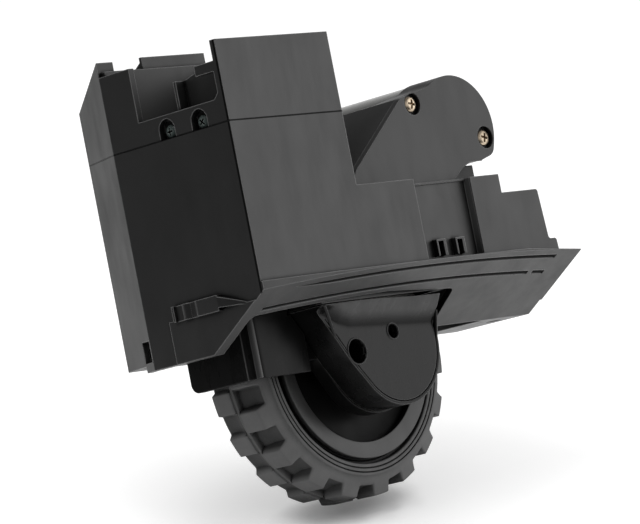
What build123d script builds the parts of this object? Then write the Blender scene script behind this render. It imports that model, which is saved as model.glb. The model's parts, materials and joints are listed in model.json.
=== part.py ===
from build123d import *
from math import acos, atan, atan2, cos, degrees, hypot, pi, radians, sin, sqrt
import os

# Sizes are millimetres. Places are measured from the housing's front left corner at the seam between
# its two halves: X runs along the front, Y into the robot, Z up. At the end every piece is moved so
# that the origin lies on the seat of the mounting flange.

# Housing walls
wall = 1.8
housing_depth = 58.0
tower_width = 40.3
corner_cut_width = 5.8
corner_cut_depth = 15.5
underside_z = -55.3
underside_thickness = 2.0
rear_foot_y = 47.0
rear_foot_rise = 1.7
back_wall_top = -20.0
tower_beam = 2.0
tower_web_depth = 7.0

# Stepped front of the lower housing
panel_width = 61.4
panel_top = -19.0
recess_y = 4.8
recess_width = 24.1
recess_top = -19.6
recess_wall = 1.6
right_panel_y = 2.5
right_panel_high_width = 11.0
right_panel_low_top = -24.5
right_panel_shelf = -37.8
right_panel_foot = 3.8
right_panel_lean = 0.9
right_panel_corner = 0.8
grip_rib_z = (-39.0, -34.7)
grip_rib_x = (69.0, 76.2)
grip_rib_thin = 0.5
grip_rib_thick = 0.9
grip_rib_slot = 2.0
grip_rib_depth = 1.7
grip_rib_roof = 0.5
grip_slot_depth = 1.0

# Skirt: the bevelled lower edge of the robot's body
skirt_step = 0.7
skirt_step_y = 15.6
skirt_side = 4.4
skirt_top = -40.4
skirt_ledge = 2.4
skirt_fall = 1.5
skirt_fall_start = 96.0
bevel_corner_z = -42.9
bevel_slope = 0.607
skirt_thickness = 2.0
skirt_radius = 570.0
skirt_apex_x = 63.3
skirt_apex_y = -4.02
groove_width = 1.2
groove_depth = 0.7
groove_insets = (1.6, 6.8)
groove_end = 4.9
groove_right_end = 9.0

# Opening that the wheel and its arm come through
opening_left = 3.0
opening_inset = 9.2
opening_bend_x = 49.5
opening_front_corner = (76.4, 7.2)
opening_low_right = 79.2
opening_wheel_room = 7.6
opening_back = 52.0
opening_corner = 2.0

# Clip, foot pad and window on the left face
clip_y = (14.6, 31.2)
clip_z = (-45.0, -41.0)
clip_depth = 1.6
clip_lobe_y = (21.7, 26.4)
clip_lobe_radius = 1.9
clip_web = 0.8
clip_wedge_front = 3.8
pad_back = 33.9
pad_top = -44.5
pad_depth = 0.4
window_y = (42.9, 46.9)
window_z = (-53.0, -47.6)

# Upper housing
tower_top = 20.5
tray_rim = 19.9
ridge_y = 42.5
ridge_z = 23.8
ridge_crest_z = 24.5
eave_z = 13.6
ridge_gap = (5.8, 16.1)
ridge_right = 38.7
tray_back_top = 21.2
tray_back_thickness = 1.6
pocket_y = (2.3, 31.5)
pocket_z = 6.0
pocket_bar_end = 8.7
pocket_bar_z = (12.8, 15.4)
pocket_corner = 1.5
pocket_panel_x = 2.2
partition_y = 16.9
partition_top = 13.4
connector_side_gap = 2.5
connector_y = 27.0
connector_size = (16.0, 7.0, 8.0)
connector_wall = 0.9
connector_pin_count = 6
connector_pin_pitch = 2.0
connector_pin_radius = 0.3

# Screws that join the two halves of the housing
seam_screw_y = (10.4, 22.1)
seam_screw_z = 1.7
seam_notch_radius = 2.8
seam_notch_top = 5.0
seam_tab_thickness = 1.8
seam_tab_drop = 9.0
seam_boss_depth = 6.0

# Screw sizes: head radius, head height, shank radius
seam_screw = (1.7, 1.3, 1.0)
seam_screw_length = 6.5
cover_screw = (2.06, 1.3, 1.1)
cover_screw_length = 6.5
drive_screw = (2.0, 1.4, 0.9)
drive_screw_length = 6.0
fender_screw = (1.7, 1.1, 0.9)
fender_screw_length = 3.4
motor_screw = (1.5, 0.9, 0.8)
motor_screw_length = 3.0
switch_screw = (1.4, 1.0, 0.7)
switch_screw_length = 6.0
wheel_screw = (4.4, 1.8, 1.3)
wheel_screw_length = 8.0
screw_recess_width = 0.7
screw_recess_depth = 0.7

# Mounting flange
flange_width = 18.6
flange_screw_inset = 6.6
flange_screw_y = (28.0, 50.0)
flange_hole_radius = 2.1

# Fits
fixed_gap = 0.02
running_gap = 0.03
side_gap = 0.3

# Pivot of the swing arm
pivot_x = 90.0
pivot_z = -27.0
pivot_pin_radius = 2.0
pivot_bush_radius = 3.2
pivot_boss_radius = 4.5
pivot_lug_radius = 5.6
front_boss_end = 9.9
front_lug_y = (10.3, 16.0)
front_lug_right = 6.0
front_lug_top = 11.4
rear_lug_y = (40.0, 46.0)
rear_boss_start = 46.4
spring_y = (19.0, 37.0)
spring_wire_radius = 0.6
spring_coil_radius = 4.4
spring_turns = 9
spring_leg = 6.4

# Motor
motor_x = 90.6
motor_z = -5.7
motor_radius = 13.6
motor_wall = 1.0
motor_face_y = 19.0
motor_length = 29.0
motor_cap_thickness = 2.6
motor_cap_spigot = 2.0
motor_shaft_radius = 1.15
motor_boss_radius = 3.1
motor_boss_height = 2.0
motor_screw_radius = 6.2
motor_screw_angle = 100.0
armature_radius = 10.2
armature_y = (23.0, 45.0)
field_magnet_radius = 10.9
field_magnet_angle = 130.0
encoder_gap = 1.0
encoder_magnet_radius = 4.5
encoder_magnet_thickness = 2.0
encoder_board_thickness = 1.0
encoder_board_radius = 10.0
encoder_post_radius = 1.4
encoder_post_place = 8.2

# Layers of the gearbox along Y
cover_front = 8.0
cover_thickness = 2.0
drive_cover_front = 11.5
drive_cover_wall = 1.5
case_split = 21.5
case_lip = 0.5
case_floor = 24.0
case_wall = 1.5
case_floor_thickness = 2.0
motor_plate_y = 17.0
bay_back = 46.0
bay_step_radius = 20.5
bay_floor_thickness = 1.6
layer_outer = (10.7, 13.3)
layer_motor = (14.0, 16.4)
layer_middle = (17.3, 20.1)
layer_final = (20.6, 23.4)

# Gears: the two teeth counts of each pair, and with them its module
motor_teeth_count = (10, 28)
motor_pair = (*motor_teeth_count, 0.6)
second_teeth_count = (12, 41)
second_pair = (*second_teeth_count, 0.7)
third_teeth_count = (12, 38)
third_pair = (*third_teeth_count, 0.8)
final_teeth_count = (14, 27)
final_pair = (*final_teeth_count, 0.9)
pressure_angle = 25.0
addendum = 0.8
dedendum = 1.05
backlash = 0.16
gear_pin_radius = 1.0
gear_hub_radius = 2.2
first_gear_angle = 200.0
third_gear_angle = 84.0

# Wheel
wheel_x = 55.9
wheel_z = -59.2
tyre_radius = 36.5
tyre_root_radius = 34.4
tyre_shoulder_radius = 31.4
tyre_y = (27.8, 47.4)
tread_y = (30.8, 44.4)
tread_ridge = 1.2
tread_ridge_drop = 0.5
tyre_bead = 1.2
tread_lug_count = 19
tread_phase = -7.6
gap_angle_top = 10.4
gap_angle_root = 7.6
rim_radius = 27.4
rim_thickness = 1.8
rim_y = (28.9, 46.6)
ring_radius = 22.6
ring_y = (27.0, 28.9)
dish_depth = 1.8
hub_tube_radius = 6.9
hub_tube_wall = 1.6
hub_boss_y = (38.0, 44.4)
hub_rib_count = 6
axle_radius = 3.0
axle_bush_radius = 4.4
axle_bush_length = 3.5
axle_tube_radius = 6.0
axle_tube_end = 36.0

# Outline of the arm's front plate (x, z)
arm_knee = (50.1, -14.0)
arm_shoulder = (71.2, 3.2)
arm_crest = (78.2, 4.7)
arm_arc_radius = 13.9
arm_arc_angles = (124.0, 60.0, -3.0)
arm_chin = ((101.8, -12.8), (97.6, -14.8), (92.9, -14.8), (89.5, -16.3), (86.1, -18.7))
arm_heel = ((84.0, -22.5), (84.0, -33.4), (75.2, -47.0))
arm_left = ((27.9, -47.0), (38.0, -28.0))
cover_screw_places = ((75.4, 1.5), (100.6, -8.9), (38.9, -33.0), (78.0, -37.6))
cover_bore_radius = 2.95

# Cover over the final gears
drive_top_z = -47.0
drive_arc_radius = 15.6
drive_left = ((28.3, -47.0), (34.3, -55.6), (38.9, -61.8))
drive_left_angle = 212.5
drive_bottom_angle = 280.0
drive_right = ((72.0, -51.9), (75.2, -47.0))
flare_y = 7.6
flare_z = -55.0
flare_thickness = 1.6
flare_right = 71.6
big_hole = (41.0, -59.7)
big_hole_radius = 3.15
big_hole_depth = 7.0
drive_boss_radius = 1.7
small_hole = (55.3, -55.8)
small_hole_radius = 1.85

# Fender beside the wheel
fender_x = 13.0
fender_front_y = 19.5
fender_back_y = 44.0
fender_z = (-62.5, -45.0)
fender_right = 31.5
fender_corner = 2.5
fender_roof = 7.0
fender_screw_places = ((22.5, -50.0), (22.5, -57.0))
fender_ear_left = 19.0
fender_ear_right = (30.0, 38.0)
fender_ear_margin = 2.5
fender_screw_seat = 0.6

# Switch that feels the arm drop
switch_x = (97.0, 102.8)
switch_y = (12.2, 18.4)
switch_z = (-46.0, -33.2)
switch_rib = 2.0
switch_rib_lip = 0.5
switch_screw_z = (-43.2, -36.0)
switch_screw_x = 100.6
lever_thickness = 0.5
lever_foot_z = -44.6
lever_tip = (94.6, -34.0)
lever_width = 3.2
lever_gap = 0.12
lever_ear = 1.0
lever_eye_radius = 0.9
lever_pin_radius = 0.4
striker_width = 2.2
striker_y = (12.9, 15.9)
striker_end_z = -38.0

opening_right = wheel_x + tyre_radius + opening_wheel_room
skirt_width = opening_right + flange_width
flange_screw_x = skirt_width - flange_screw_inset
side_wall_x = switch_x[1] + wall
connector_place = (tower_width - wall - connector_side_gap - connector_size[0], connector_y)
origin = (flange_screw_x, sum(flange_screw_y) / 2, underside_z + underside_thickness)
pivot = (pivot_x, pivot_z)
motor = (motor_x, motor_z)
wheel = (wheel_x, wheel_z)
cover_back = cover_front + cover_thickness
case_back = case_floor + case_floor_thickness


def centre_distance(pair):
    """Distance between the centres of two gears that mesh."""
    return (pair[0] + pair[1]) * pair[2] / 2


def around(centre, radius, angle):
    """The point of a circle at an angle in degrees, from X towards Z."""
    return (centre[0] + radius * cos(radians(angle)), centre[1] + radius * sin(radians(angle)))


def direction(start, end):
    """Angle in degrees of the line between two points."""
    return degrees(atan2(end[1] - start[1], end[0] - start[0]))


def elbow(start, start_length, end, end_length):
    """The point at two given distances from two others, to the left of the line between them."""
    span = hypot(end[0] - start[0], end[1] - start[1])
    bend = degrees(acos((start_length ** 2 + span ** 2 - end_length ** 2) / (2 * start_length * span)))
    return around(start, start_length, direction(start, end) - bend)


first_centre = around(motor, centre_distance(motor_pair), first_gear_angle)
third_centre = around(wheel, centre_distance(final_pair), third_gear_angle)
second_centre = elbow(first_centre, centre_distance(second_pair), third_centre, centre_distance(third_pair))


def box(x, y, z):
    """A block between three pairs of limits."""
    size = Box(x[1] - x[0], y[1] - y[0], z[1] - z[0])
    return Pos(sum(x) / 2, sum(y) / 2, sum(z) / 2) * size


def across(shape, y):
    """A solid of a shape drawn as (x, z), between two limits along Y."""
    return Plane.XZ.offset(-y[1]) * extrude(shape, y[1] - y[0])


def upright(shape, z):
    """A solid of a shape drawn as (x, y), between two heights."""
    return Pos(0, 0, z[0]) * extrude(shape, z[1] - z[0])


def along(shape, x):
    """A solid of a shape drawn as (y, z), between two limits along X."""
    return Plane.YZ.offset(x[0]) * extrude(shape, x[1] - x[0])


def area(*points):
    """A flat shape with straight edges."""
    return make_face(Polyline(*points, close=True))


def disc(centre, radius):
    """A flat round shape."""
    return Pos(*centre) * Circle(radius)


def rod(centre, radius, y):
    """A round bar along Y."""
    return across(disc(centre, radius), y)


def sleeve(centre, outer, inner, y):
    """A round tube along Y."""
    return across(disc(centre, outer) - disc(centre, inner), y)


def screw(size, length, recess=True):
    """A screw with its head's underside at the origin, the head towards -Y and the shank towards +Y."""
    head_radius, head_height, shank_radius = size
    body = rod((0, 0), head_radius, (-head_height, 0)) + rod((0, 0), shank_radius, (0, length))
    arm = head_radius * 0.62
    slot = screw_recess_width / 2
    depth = (-head_height - 1, -head_height + screw_recess_depth)
    body -= box((-arm, arm), depth, (-slot, slot))
    body -= box((-slot, slot), depth, (-arm, arm))
    return body


def tower_plan():
    """The tower seen from above, with its cut corner at the back left."""
    return area((0, 0), (tower_width, 0), (tower_width, housing_depth),
                (corner_cut_width, housing_depth), (0, housing_depth - corner_cut_depth))


def tower_shell(z):
    """The tower's outer walls between two heights."""
    return upright(tower_plan() - offset(tower_plan(), -wall, kind=Kind.INTERSECTION), z)


def bevel_z(y):
    """Height of the skirt's outer face."""
    return bevel_corner_z - bevel_slope * y


def bevel_y(z):
    """Depth of the skirt's outer face at a height."""
    return (bevel_corner_z - z) / bevel_slope


def front_arc(inset, x):
    """A line along the skirt's curved front edge, moved back by an inset."""
    radius = skirt_radius - inset
    centre_y = skirt_apex_y + skirt_radius
    middle = (x[0] + x[1]) / 2
    places = (x[0], middle, x[1])
    points = [(place, centre_y - sqrt(radius ** 2 - (place - skirt_apex_x) ** 2)) for place in places]
    return ThreePointArc(*points)


def skirt_plan():
    """The skirt and underside seen from above."""
    front = front_arc(0, (0, skirt_width))
    inner = skirt_width - skirt_step
    rest = Polyline(front @ 1, (skirt_width, skirt_step_y), (inner, skirt_step_y), (inner, housing_depth),
                    (corner_cut_width, housing_depth), (0, housing_depth - corner_cut_depth), front @ 0)
    return make_face(front + rest)


def skirt():
    """The bevelled skirt, its top ledge and the flat underside behind it."""
    rise = skirt_thickness * sqrt(1 + bevel_slope ** 2)
    floor_top = underside_z + underside_thickness
    ledge_back = recess_y + recess_wall
    ledge_z = skirt_top - skirt_ledge
    section = area((bevel_y(skirt_top), skirt_top), (ledge_back, skirt_top), (ledge_back, ledge_z),
                   (bevel_y(ledge_z - rise), ledge_z), (bevel_y(floor_top - rise), floor_top),
                   (housing_depth, floor_top), (housing_depth, underside_z),
                   (bevel_y(underside_z), underside_z))
    solid = along(section, (0, skirt_width)) & upright(skirt_plan(), (underside_z - 1, skirt_top + 1))
    fall = area((skirt_fall_start, skirt_top), (skirt_width, skirt_top),
                (skirt_width, skirt_top - skirt_fall))
    return solid - wheel_opening() - skirt_grooves() - across(fall, (skirt_apex_y - 1, ledge_back + 1))


def wheel_opening():
    """What is cut out of the skirt and the underside for the wheel."""
    edge = front_arc(opening_inset, (opening_left, opening_bend_x))
    flat_front = bevel_y(underside_z)
    rest = Polyline(edge @ 1, opening_front_corner, (opening_low_right, flat_front),
                    (opening_right, flat_front), (opening_right, opening_back),
                    (opening_left, opening_back), edge @ 0)
    shape = make_face(edge + rest)
    shape = fillet(shape.vertices(), opening_corner)
    return upright(shape, (underside_z - 1, skirt_top - skirt_ledge))


def skirt_grooves():
    """Two thin grooves that follow the skirt's front edge."""
    limits = (groove_end, skirt_width - groove_right_end)
    grooves = []
    for inset in groove_insets:
        front = front_arc(inset, limits)
        back = front_arc(inset + groove_width, limits)
        ends = Line(front @ 0, back @ 0) + Line(front @ 1, back @ 1)
        grooves.append(upright(make_face(front + back + ends), (underside_z, skirt_top)))
    sink = groove_depth * sqrt(1 + bevel_slope ** 2)
    front_y = skirt_apex_y - 1
    back_y = bevel_y(underside_z)
    layer = area((front_y, bevel_z(front_y) - 1), (front_y, bevel_z(front_y) + sink),
                 (back_y, underside_z + sink), (back_y, underside_z - 1))
    return (grooves[0] + grooves[1]) & along(layer, (0, skirt_width))


def above_bevel():
    """Everything over the skirt's outer face and the underside."""
    shape = area((0, 1), (housing_depth, 1), (housing_depth, underside_z),
                 (bevel_y(underside_z), underside_z), (0, bevel_corner_z))
    return along(shape, (-clip_depth - 1, skirt_width))


def stepped_front():
    """The front wall of the lower housing with its recess and its right panel."""
    low = skirt_top - skirt_ledge
    recess_right = panel_width + recess_width
    high_right = recess_right + right_panel_high_width
    foot = skirt_width - skirt_side
    right = foot - right_panel_foot
    back = recess_y + recess_wall
    solid = box((0, tower_width), (0, wall), (low, 0))
    solid += box((0, panel_width), (0, wall), (low, panel_top))
    solid += box((panel_width - wall, panel_width), (0, back), (low, recess_top))
    solid += box((panel_width - wall, recess_right + wall), (recess_y, back), (low, recess_top))
    solid += box((recess_right, recess_right + wall), (right_panel_y, back), (low, recess_top))
    shape = area((recess_right, low), (recess_right, recess_top), (high_right, recess_top),
                 (high_right, right_panel_low_top), (right, right_panel_low_top),
                 (right + right_panel_lean, right_panel_shelf), (foot, right_panel_shelf),
                 (foot + right_panel_lean / 3, low))
    for place in ((right, right_panel_low_top), (right + right_panel_lean, right_panel_shelf),
                  (foot, right_panel_shelf)):
        corner = shape.vertices().sort_by_distance((*place, 0))[0]
        shape = fillet(corner, right_panel_corner)
    solid += across(shape, (right_panel_y, right_panel_y + wall))
    for start in grip_rib_x:
        solid = grip_rib(solid, start)
    return solid


def grip_rib(solid, start):
    """Adds one of the recess's grip ribs: a thin wall, a slot, a thicker wall and a roof."""
    low, high = grip_rib_z
    slot_start = start + grip_rib_thin
    slot_end = slot_start + grip_rib_slot
    front = recess_y - grip_rib_depth
    solid += box((start, slot_end + grip_rib_thick), (front, recess_y), grip_rib_z)
    return solid - box((slot_start, slot_end), (front - 1, recess_y + grip_slot_depth),
                       (low, high - grip_rib_roof))


def side_clip():
    """The clip on the left face, with its two upright lobes and its wedge-shaped front."""
    front, back = clip_y
    low, high = clip_z
    middle = (low + high) / 2
    solid = box((-clip_depth, 0), (front, clip_lobe_y[0]), clip_z) + box((-clip_web, 0), clip_y, clip_z)
    solid += box((-clip_depth * 0.9, 0), (back - clip_web, back), clip_z)
    for place in clip_lobe_y:
        lobe = Pos(clip_lobe_radius - clip_depth, place, middle) * Cylinder(clip_lobe_radius, high - low)
        solid += lobe & box((-clip_depth, 0), clip_y, clip_z)
    wedge = area((0, clip_wedge_front), (0, front), (-clip_depth, front))
    slope = area((clip_wedge_front, low), (front, high - clip_web / 2), (front, low + clip_web))
    return solid + (upright(wedge, clip_z) & along(slope, (-clip_depth, 0)))


def spring_stop():
    """The rib on the skirt that the spring's front leg leans on."""
    left = pivot_x + spring_coil_radius + spring_wire_radius + side_gap / 3
    front = spring_y[0] - wall / 2
    return box((left, left + wall), (front, front + wall),
               (bevel_z(front) + wall / 2, pivot_z - spring_leg / 2))


def seam_tabs():
    """Tabs that stand up from the lower housing behind the upper one's left wall."""
    solids = []
    for place in seam_screw_y:
        width = seam_notch_radius - side_gap
        tab = box((wall + side_gap, wall + side_gap + seam_tab_thickness), (place - width, place + width),
                  (-seam_tab_drop, seam_notch_top - side_gap))
        foot = box((wall - 0.2, wall + side_gap + seam_tab_thickness), (place - width, place + width),
                   (-seam_tab_drop, -2))
        hole = Pos(wall, place, seam_screw_z) * Rot(0, 90, 0) * Cylinder(seam_screw[2] + fixed_gap, 8)
        solids.append(tab + foot - hole)
    return solids


def pivot_bosses():
    """The two bosses that carry the arm's pin."""
    solid = rod(pivot, pivot_boss_radius, (right_panel_y + 1, front_boss_end))
    return solid + rod(pivot, pivot_boss_radius, (rear_boss_start, housing_depth - 1))


def lower_housing():
    """The lower half of the housing: tower, stepped front, skirt, underside and flange."""
    solid = tower_shell((underside_z, 0))
    open_side = (tower_width - wall - 1, tower_width + 1)
    solid -= box(open_side, (tower_web_depth, housing_depth - wall), (underside_z - 1, -tower_beam))
    solid -= box(open_side, (wall, housing_depth), (underside_z - 1, panel_top))
    solid += stepped_front()
    back_limits = (housing_depth - wall, housing_depth)
    solid += box((tower_width - wall, side_wall_x), back_limits, (underside_z, back_wall_top))
    side_limits = (side_wall_x - wall, side_wall_x)
    solid += box(side_limits, (right_panel_y, housing_depth), (underside_z, right_panel_low_top))
    solid &= above_bevel()
    solid += skirt()
    solid += side_clip()
    solid += left_pad()
    solid += pivot_bosses()
    solid += spring_stop()
    solid += switch_carrier()
    for tab in seam_tabs():
        solid += tab
    solid -= left_cuts()
    solid -= rod(pivot, pivot_pin_radius + fixed_gap, (right_panel_y + wall, housing_depth - wall))
    rear_cut = (underside_z - 1, underside_z + rear_foot_rise)
    solid -= box((-1, skirt_width), (rear_foot_y, housing_depth + 1), rear_cut)
    solid += rear_strip()
    for y in flange_screw_y:
        solid -= Pos(flange_screw_x, y, underside_z) * Cylinder(flange_hole_radius, 4 * underside_thickness)
    return solid


def left_pad():
    """The slightly raised foot of the left face."""
    return box((-pad_depth, 0), (0, pad_back), (underside_z, pad_top)) & above_bevel()


def left_cuts():
    """The window in the cut corner."""
    return box((-1, corner_cut_width), window_y, window_z)


def rear_strip():
    """The raised rear part of the underside."""
    low = underside_z + rear_foot_rise
    plan = skirt_plan() & area((0, opening_back), (skirt_width, opening_back), (skirt_width, housing_depth),
                               (0, housing_depth))
    return upright(plan, (low, low + underside_thickness))


def switch_carrier():
    """The rib that the drop switch is screwed to."""
    rib = box((switch_x[0] - switch_rib_lip, side_wall_x - wall / 2),
              (switch_y[0] - switch_rib, switch_y[0]), (switch_z[0] - switch_rib, switch_z[1]))
    for z in switch_screw_z:
        rib -= rod((switch_screw_x, z), switch_screw[2] + fixed_gap, (0, switch_y[0] + 1))
    return rib


def tower_profile():
    """Side view of the upper housing: rim of the tray, ridge and sloping roof."""
    return area((0, 0), (0, tower_top), (wall, tower_top), (wall, tray_rim), (ridge_y, tray_rim),
                (ridge_y, ridge_z), (housing_depth, eave_z), (housing_depth, 0))


def upper_housing():
    """The upper half of the housing: an open tray with a roofed rear part."""
    solid = tower_shell((0, ridge_z)) & along(tower_profile(), (-1, tower_width + 1))
    roof = area((ridge_y, ridge_z), (housing_depth, eave_z), (housing_depth, eave_z - wall),
                (ridge_y, ridge_z - wall))
    inside = upright(tower_plan(), (0, ridge_z))
    solid += along(roof, (0, tower_width)) & inside
    ridge = box((0, tower_width), (ridge_y, ridge_y + wall), (0, ridge_z)) & inside
    solid += ridge & along(tower_profile(), (-1, tower_width + 1))
    solid += inside & box((0, tower_width), (0, ridge_y + wall), (0, wall))
    front, back = pocket_y
    opening = area((front, pocket_z + pocket_corner), (front + pocket_corner, pocket_z), (back, pocket_z),
                   (back, ridge_z), (pocket_bar_end, ridge_z), (pocket_bar_end, pocket_bar_z[0]),
                   (front, pocket_bar_z[0]))
    solid -= along(opening, (-1, wall))
    solid -= box((-1, wall), (wall, pocket_bar_end), (pocket_bar_z[1], ridge_z))
    solid -= box(ridge_gap, (ridge_y - 1, ridge_y + wall + 1), (tray_rim, ridge_z + 1))
    solid -= box((ridge_right, tower_width + 1), (ridge_y - 1, housing_depth), (tray_rim, ridge_z + 1))
    solid += box((ridge_gap[1], ridge_right), (ridge_y, ridge_y + wall / 2), (ridge_z - 1, ridge_crest_z))
    solid += box((wall / 2, tower_width - wall / 2), (ridge_y - tray_back_thickness, ridge_y + wall / 2),
                 (wall / 2, tray_back_top))
    panel = area((wall, wall), (partition_y, wall), (partition_y, partition_top),
                 (pocket_bar_end, pocket_bar_z[1]), (wall, pocket_bar_z[1]))
    solid += along(panel, (pocket_panel_x + seam_tab_thickness, pocket_panel_x + seam_tab_thickness + wall))
    partition_end = pocket_panel_x + seam_tab_thickness + wall
    solid += box((wall / 2, partition_end), (partition_y, partition_y + wall / 2),
                 (pocket_z - 1, partition_top))
    solid += box((tower_width / 2, tower_width - wall / 2), (partition_y, partition_y + wall),
                 (0, partition_top))
    return seam_bosses(solid)


def seam_bosses(solid):
    """The upper housing with its screw bosses, and with room for the lower one's tabs."""
    tab_back = wall + side_gap + seam_tab_thickness
    boss_front = tab_back + side_gap / 3
    for place in seam_screw_y:
        half = seam_notch_radius
        solid += box((boss_front, boss_front + seam_boss_depth), (place - half, place + half),
                     (0, seam_notch_top + 1))
    for place in seam_screw_y:
        half = seam_notch_radius
        straight = seam_notch_top - seam_notch_radius
        notch = box((-1, wall + side_gap), (place - half, place + half), (-1, straight))
        notch += Pos(wall / 2, place, straight) * Rot(0, 90, 0) * Cylinder(half, wall + 2)
        solid -= notch & box((-1, wall + side_gap), (0, housing_depth), (-1, ridge_z))
        solid -= box((wall, boss_front), (place - half, place + half), (-1, seam_notch_top))
        bore = Cylinder(seam_screw[2] + fixed_gap, 2 * seam_screw_length)
        solid -= Pos(tab_back, place, seam_screw_z) * Rot(0, 90, 0) * bore
    return solid


def housing_screws():
    """The two screws of the seam."""
    head_place = wall + side_gap
    return [Pos(head_place, place, seam_screw_z) * Rot(0, 0, -90) * screw(seam_screw, seam_screw_length)
            for place in seam_screw_y]


def connector_body():
    """The open header that the robot's plug goes into."""
    x, y = connector_place
    width, depth, height = connector_size
    body = box((x, x + width), (y, y + depth), (wall, wall + height))
    body -= box((x + connector_wall, x + width - connector_wall),
                (y + connector_wall, y + depth - connector_wall),
                (wall + 2 * connector_wall, wall + height + 1))
    for place in connector_pin_places():
        body -= Pos(*place, wall) * Cylinder(connector_pin_radius + fixed_gap, 8 * connector_wall)
    return body


def connector_pin_places():
    """Places of the header's pins."""
    x, y = connector_place
    width, depth, height = connector_size
    first = x + width / 2 - (connector_pin_count - 1) * connector_pin_pitch / 2
    return [(first + index * connector_pin_pitch, y + depth / 2) for index in range(connector_pin_count)]


def connector_pins():
    """The header's pins."""
    low = wall + connector_wall
    top = wall + connector_size[2] - 2 * connector_wall
    return [Pos(*place, (low + top) / 2) * Cylinder(connector_pin_radius, top - low)
            for place in connector_pin_places()]


def arm_outline():
    """Outline of the arm's front plate: a slanted left edge, a round end at the motor and a chin."""
    crest_end, arc_top, arc_end = (around(motor, arm_arc_radius, angle) for angle in arm_arc_angles)
    line = Polyline(arm_left[0], arm_left[1], arm_knee, arm_shoulder, arm_crest, crest_end)
    line += ThreePointArc(crest_end, arc_top, arc_end)
    line += Polyline(arc_end, *arm_chin, *arm_heel, arm_left[0])
    return make_face(line)


def drive_outline():
    """Outline of the cover over the final gears: straight sides and an arc about the wheel's axis."""
    left = around(wheel, drive_arc_radius, drive_left_angle)
    bottom = around(wheel, drive_arc_radius, drive_bottom_angle)
    right = around(wheel, drive_arc_radius, 0)
    line = Polyline(*drive_left, left)
    line += ThreePointArc(left, bottom, right)
    line += Polyline(right, *drive_right, drive_left[0])
    return make_face(line)


def gearbox_outline(grow=0):
    """The whole arm's outline, with the lower part grown by a lip."""
    lower = offset(drive_outline(), grow, kind=Kind.INTERSECTION) if grow else drive_outline()
    return arm_outline() + lower


def gearbox_case():
    """The arm's main casting: gear chamber, motor plate, motor bay, pivot lugs and axle tube."""
    cavity = offset(gearbox_outline(), -case_wall, kind=Kind.INTERSECTION)
    solid = across(gearbox_outline(), (cover_back, case_back))
    solid += across(drive_outline_lip(), (case_split, case_back))
    solid += front_lug()
    solid -= across(cavity, (cover_back - 1, case_floor))
    solid -= box((0, skirt_width), (cover_back - 1, case_split), (wheel_z - tyre_radius, drive_top_z))
    bay = disc(motor, bay_step_radius)
    step = disc(motor, bay_step_radius + case_wall)
    solid -= across(bay, (motor_face_y, case_back + 1))
    solid += across(arm_outline() & bay, (motor_plate_y, motor_face_y))
    solid += across(arm_outline() & (step - bay), (motor_plate_y, case_back))
    solid += bay_walls()
    solid += rear_lug()
    solid += sleeve(wheel, axle_tube_radius, axle_bush_radius + fixed_gap, (case_floor, axle_tube_end))
    solid -= rod(wheel, axle_bush_radius + fixed_gap, (case_floor - 1, case_back + 1))
    solid += fender_ear()
    for place in cover_screw_places:
        solid += rod(place, cover_screw[2] + 1.2, (cover_back, layer_floor(place)))
    for place in cover_screw_places:
        solid -= rod(place, cover_screw[2] + fixed_gap, (cover_back - 1, cover_back + cover_screw_length))
    solid += rod(big_hole, drive_boss_radius, (drive_boss_front(), case_floor))
    solid -= rod(big_hole, drive_screw[2] + fixed_gap, (drive_boss_front() - 1, case_back - 0.5))
    solid -= motor_plate_cuts()
    for centre, start, end in gear_pin_places():
        solid -= rod(centre, gear_pin_radius + fixed_gap, (motor_plate_y - 1, end))
    for y in (front_lug_y, rear_lug_y):
        solid -= rod(pivot, pivot_bush_radius + fixed_gap, (y[0] - 1, y[1] + 1))
    return solid


def drive_outline_lip():
    """The case's lower rim, which stands a little proud of its cover."""
    return offset(drive_outline(), case_lip, kind=Kind.INTERSECTION)


def layer_floor(place):
    """Depth of the case's floor behind a place: the motor plate is further forward than the rest."""
    near = hypot(place[0] - motor_x, place[1] - motor_z) < bay_step_radius
    return motor_plate_y if near else case_floor


def drive_boss_front():
    """Front face of the boss that takes the lower cover's screw."""
    return drive_cover_front + big_hole_depth + drive_cover_wall


def front_lug():
    """The front lug that the arm turns on, with its square corner under the motor."""
    right = pivot_x + front_lug_right
    top = pivot_z + front_lug_top
    corner = area((arm_heel[0][0] - 1, top), (right, top), (right, pivot_z),
                  (pivot_x, pivot_z - pivot_lug_radius), (arm_heel[1][0] - 1, pivot_z - pivot_lug_radius))
    return across(corner + disc(pivot, pivot_lug_radius), front_lug_y)


def rear_lug():
    """The rear lug, hung from the motor bay's floor."""
    web = area((pivot_x - 2 * pivot_lug_radius, bay_floor_z() - 1), (pivot_x, bay_floor_z() - 1),
               (pivot_x + pivot_lug_radius, pivot_z), (pivot_x - pivot_lug_radius, pivot_z - 1))
    return across(web + disc(pivot, pivot_lug_radius), rear_lug_y)


def bay_floor_z():
    """Top of the floor under the motor."""
    return motor_z - motor_radius - side_gap


def bay_walls():
    """The slanted side wall and the floor of the motor's bay."""
    angle = radians(direction(arm_knee, arm_shoulder))
    shift = (sin(angle) * wall, -cos(angle) * wall)
    inner_shoulder = (arm_shoulder[0] + shift[0], arm_shoulder[1] + shift[1])
    inner_knee = (arm_knee[0] + shift[0], arm_knee[1] + shift[1])
    side = area(arm_knee, arm_shoulder, inner_shoulder, inner_knee)
    top = bay_floor_z()
    right = pivot_x + spring_coil_radius - spring_wire_radius - side_gap / 3
    floor = area(arm_knee, (motor_x - motor_radius, top), (right, top), (right, top - bay_floor_thickness),
                 (motor_x - motor_radius, top - bay_floor_thickness),
                 (arm_knee[0], arm_knee[1] - bay_floor_thickness))
    return across(side + floor, (case_floor, bay_back))


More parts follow.
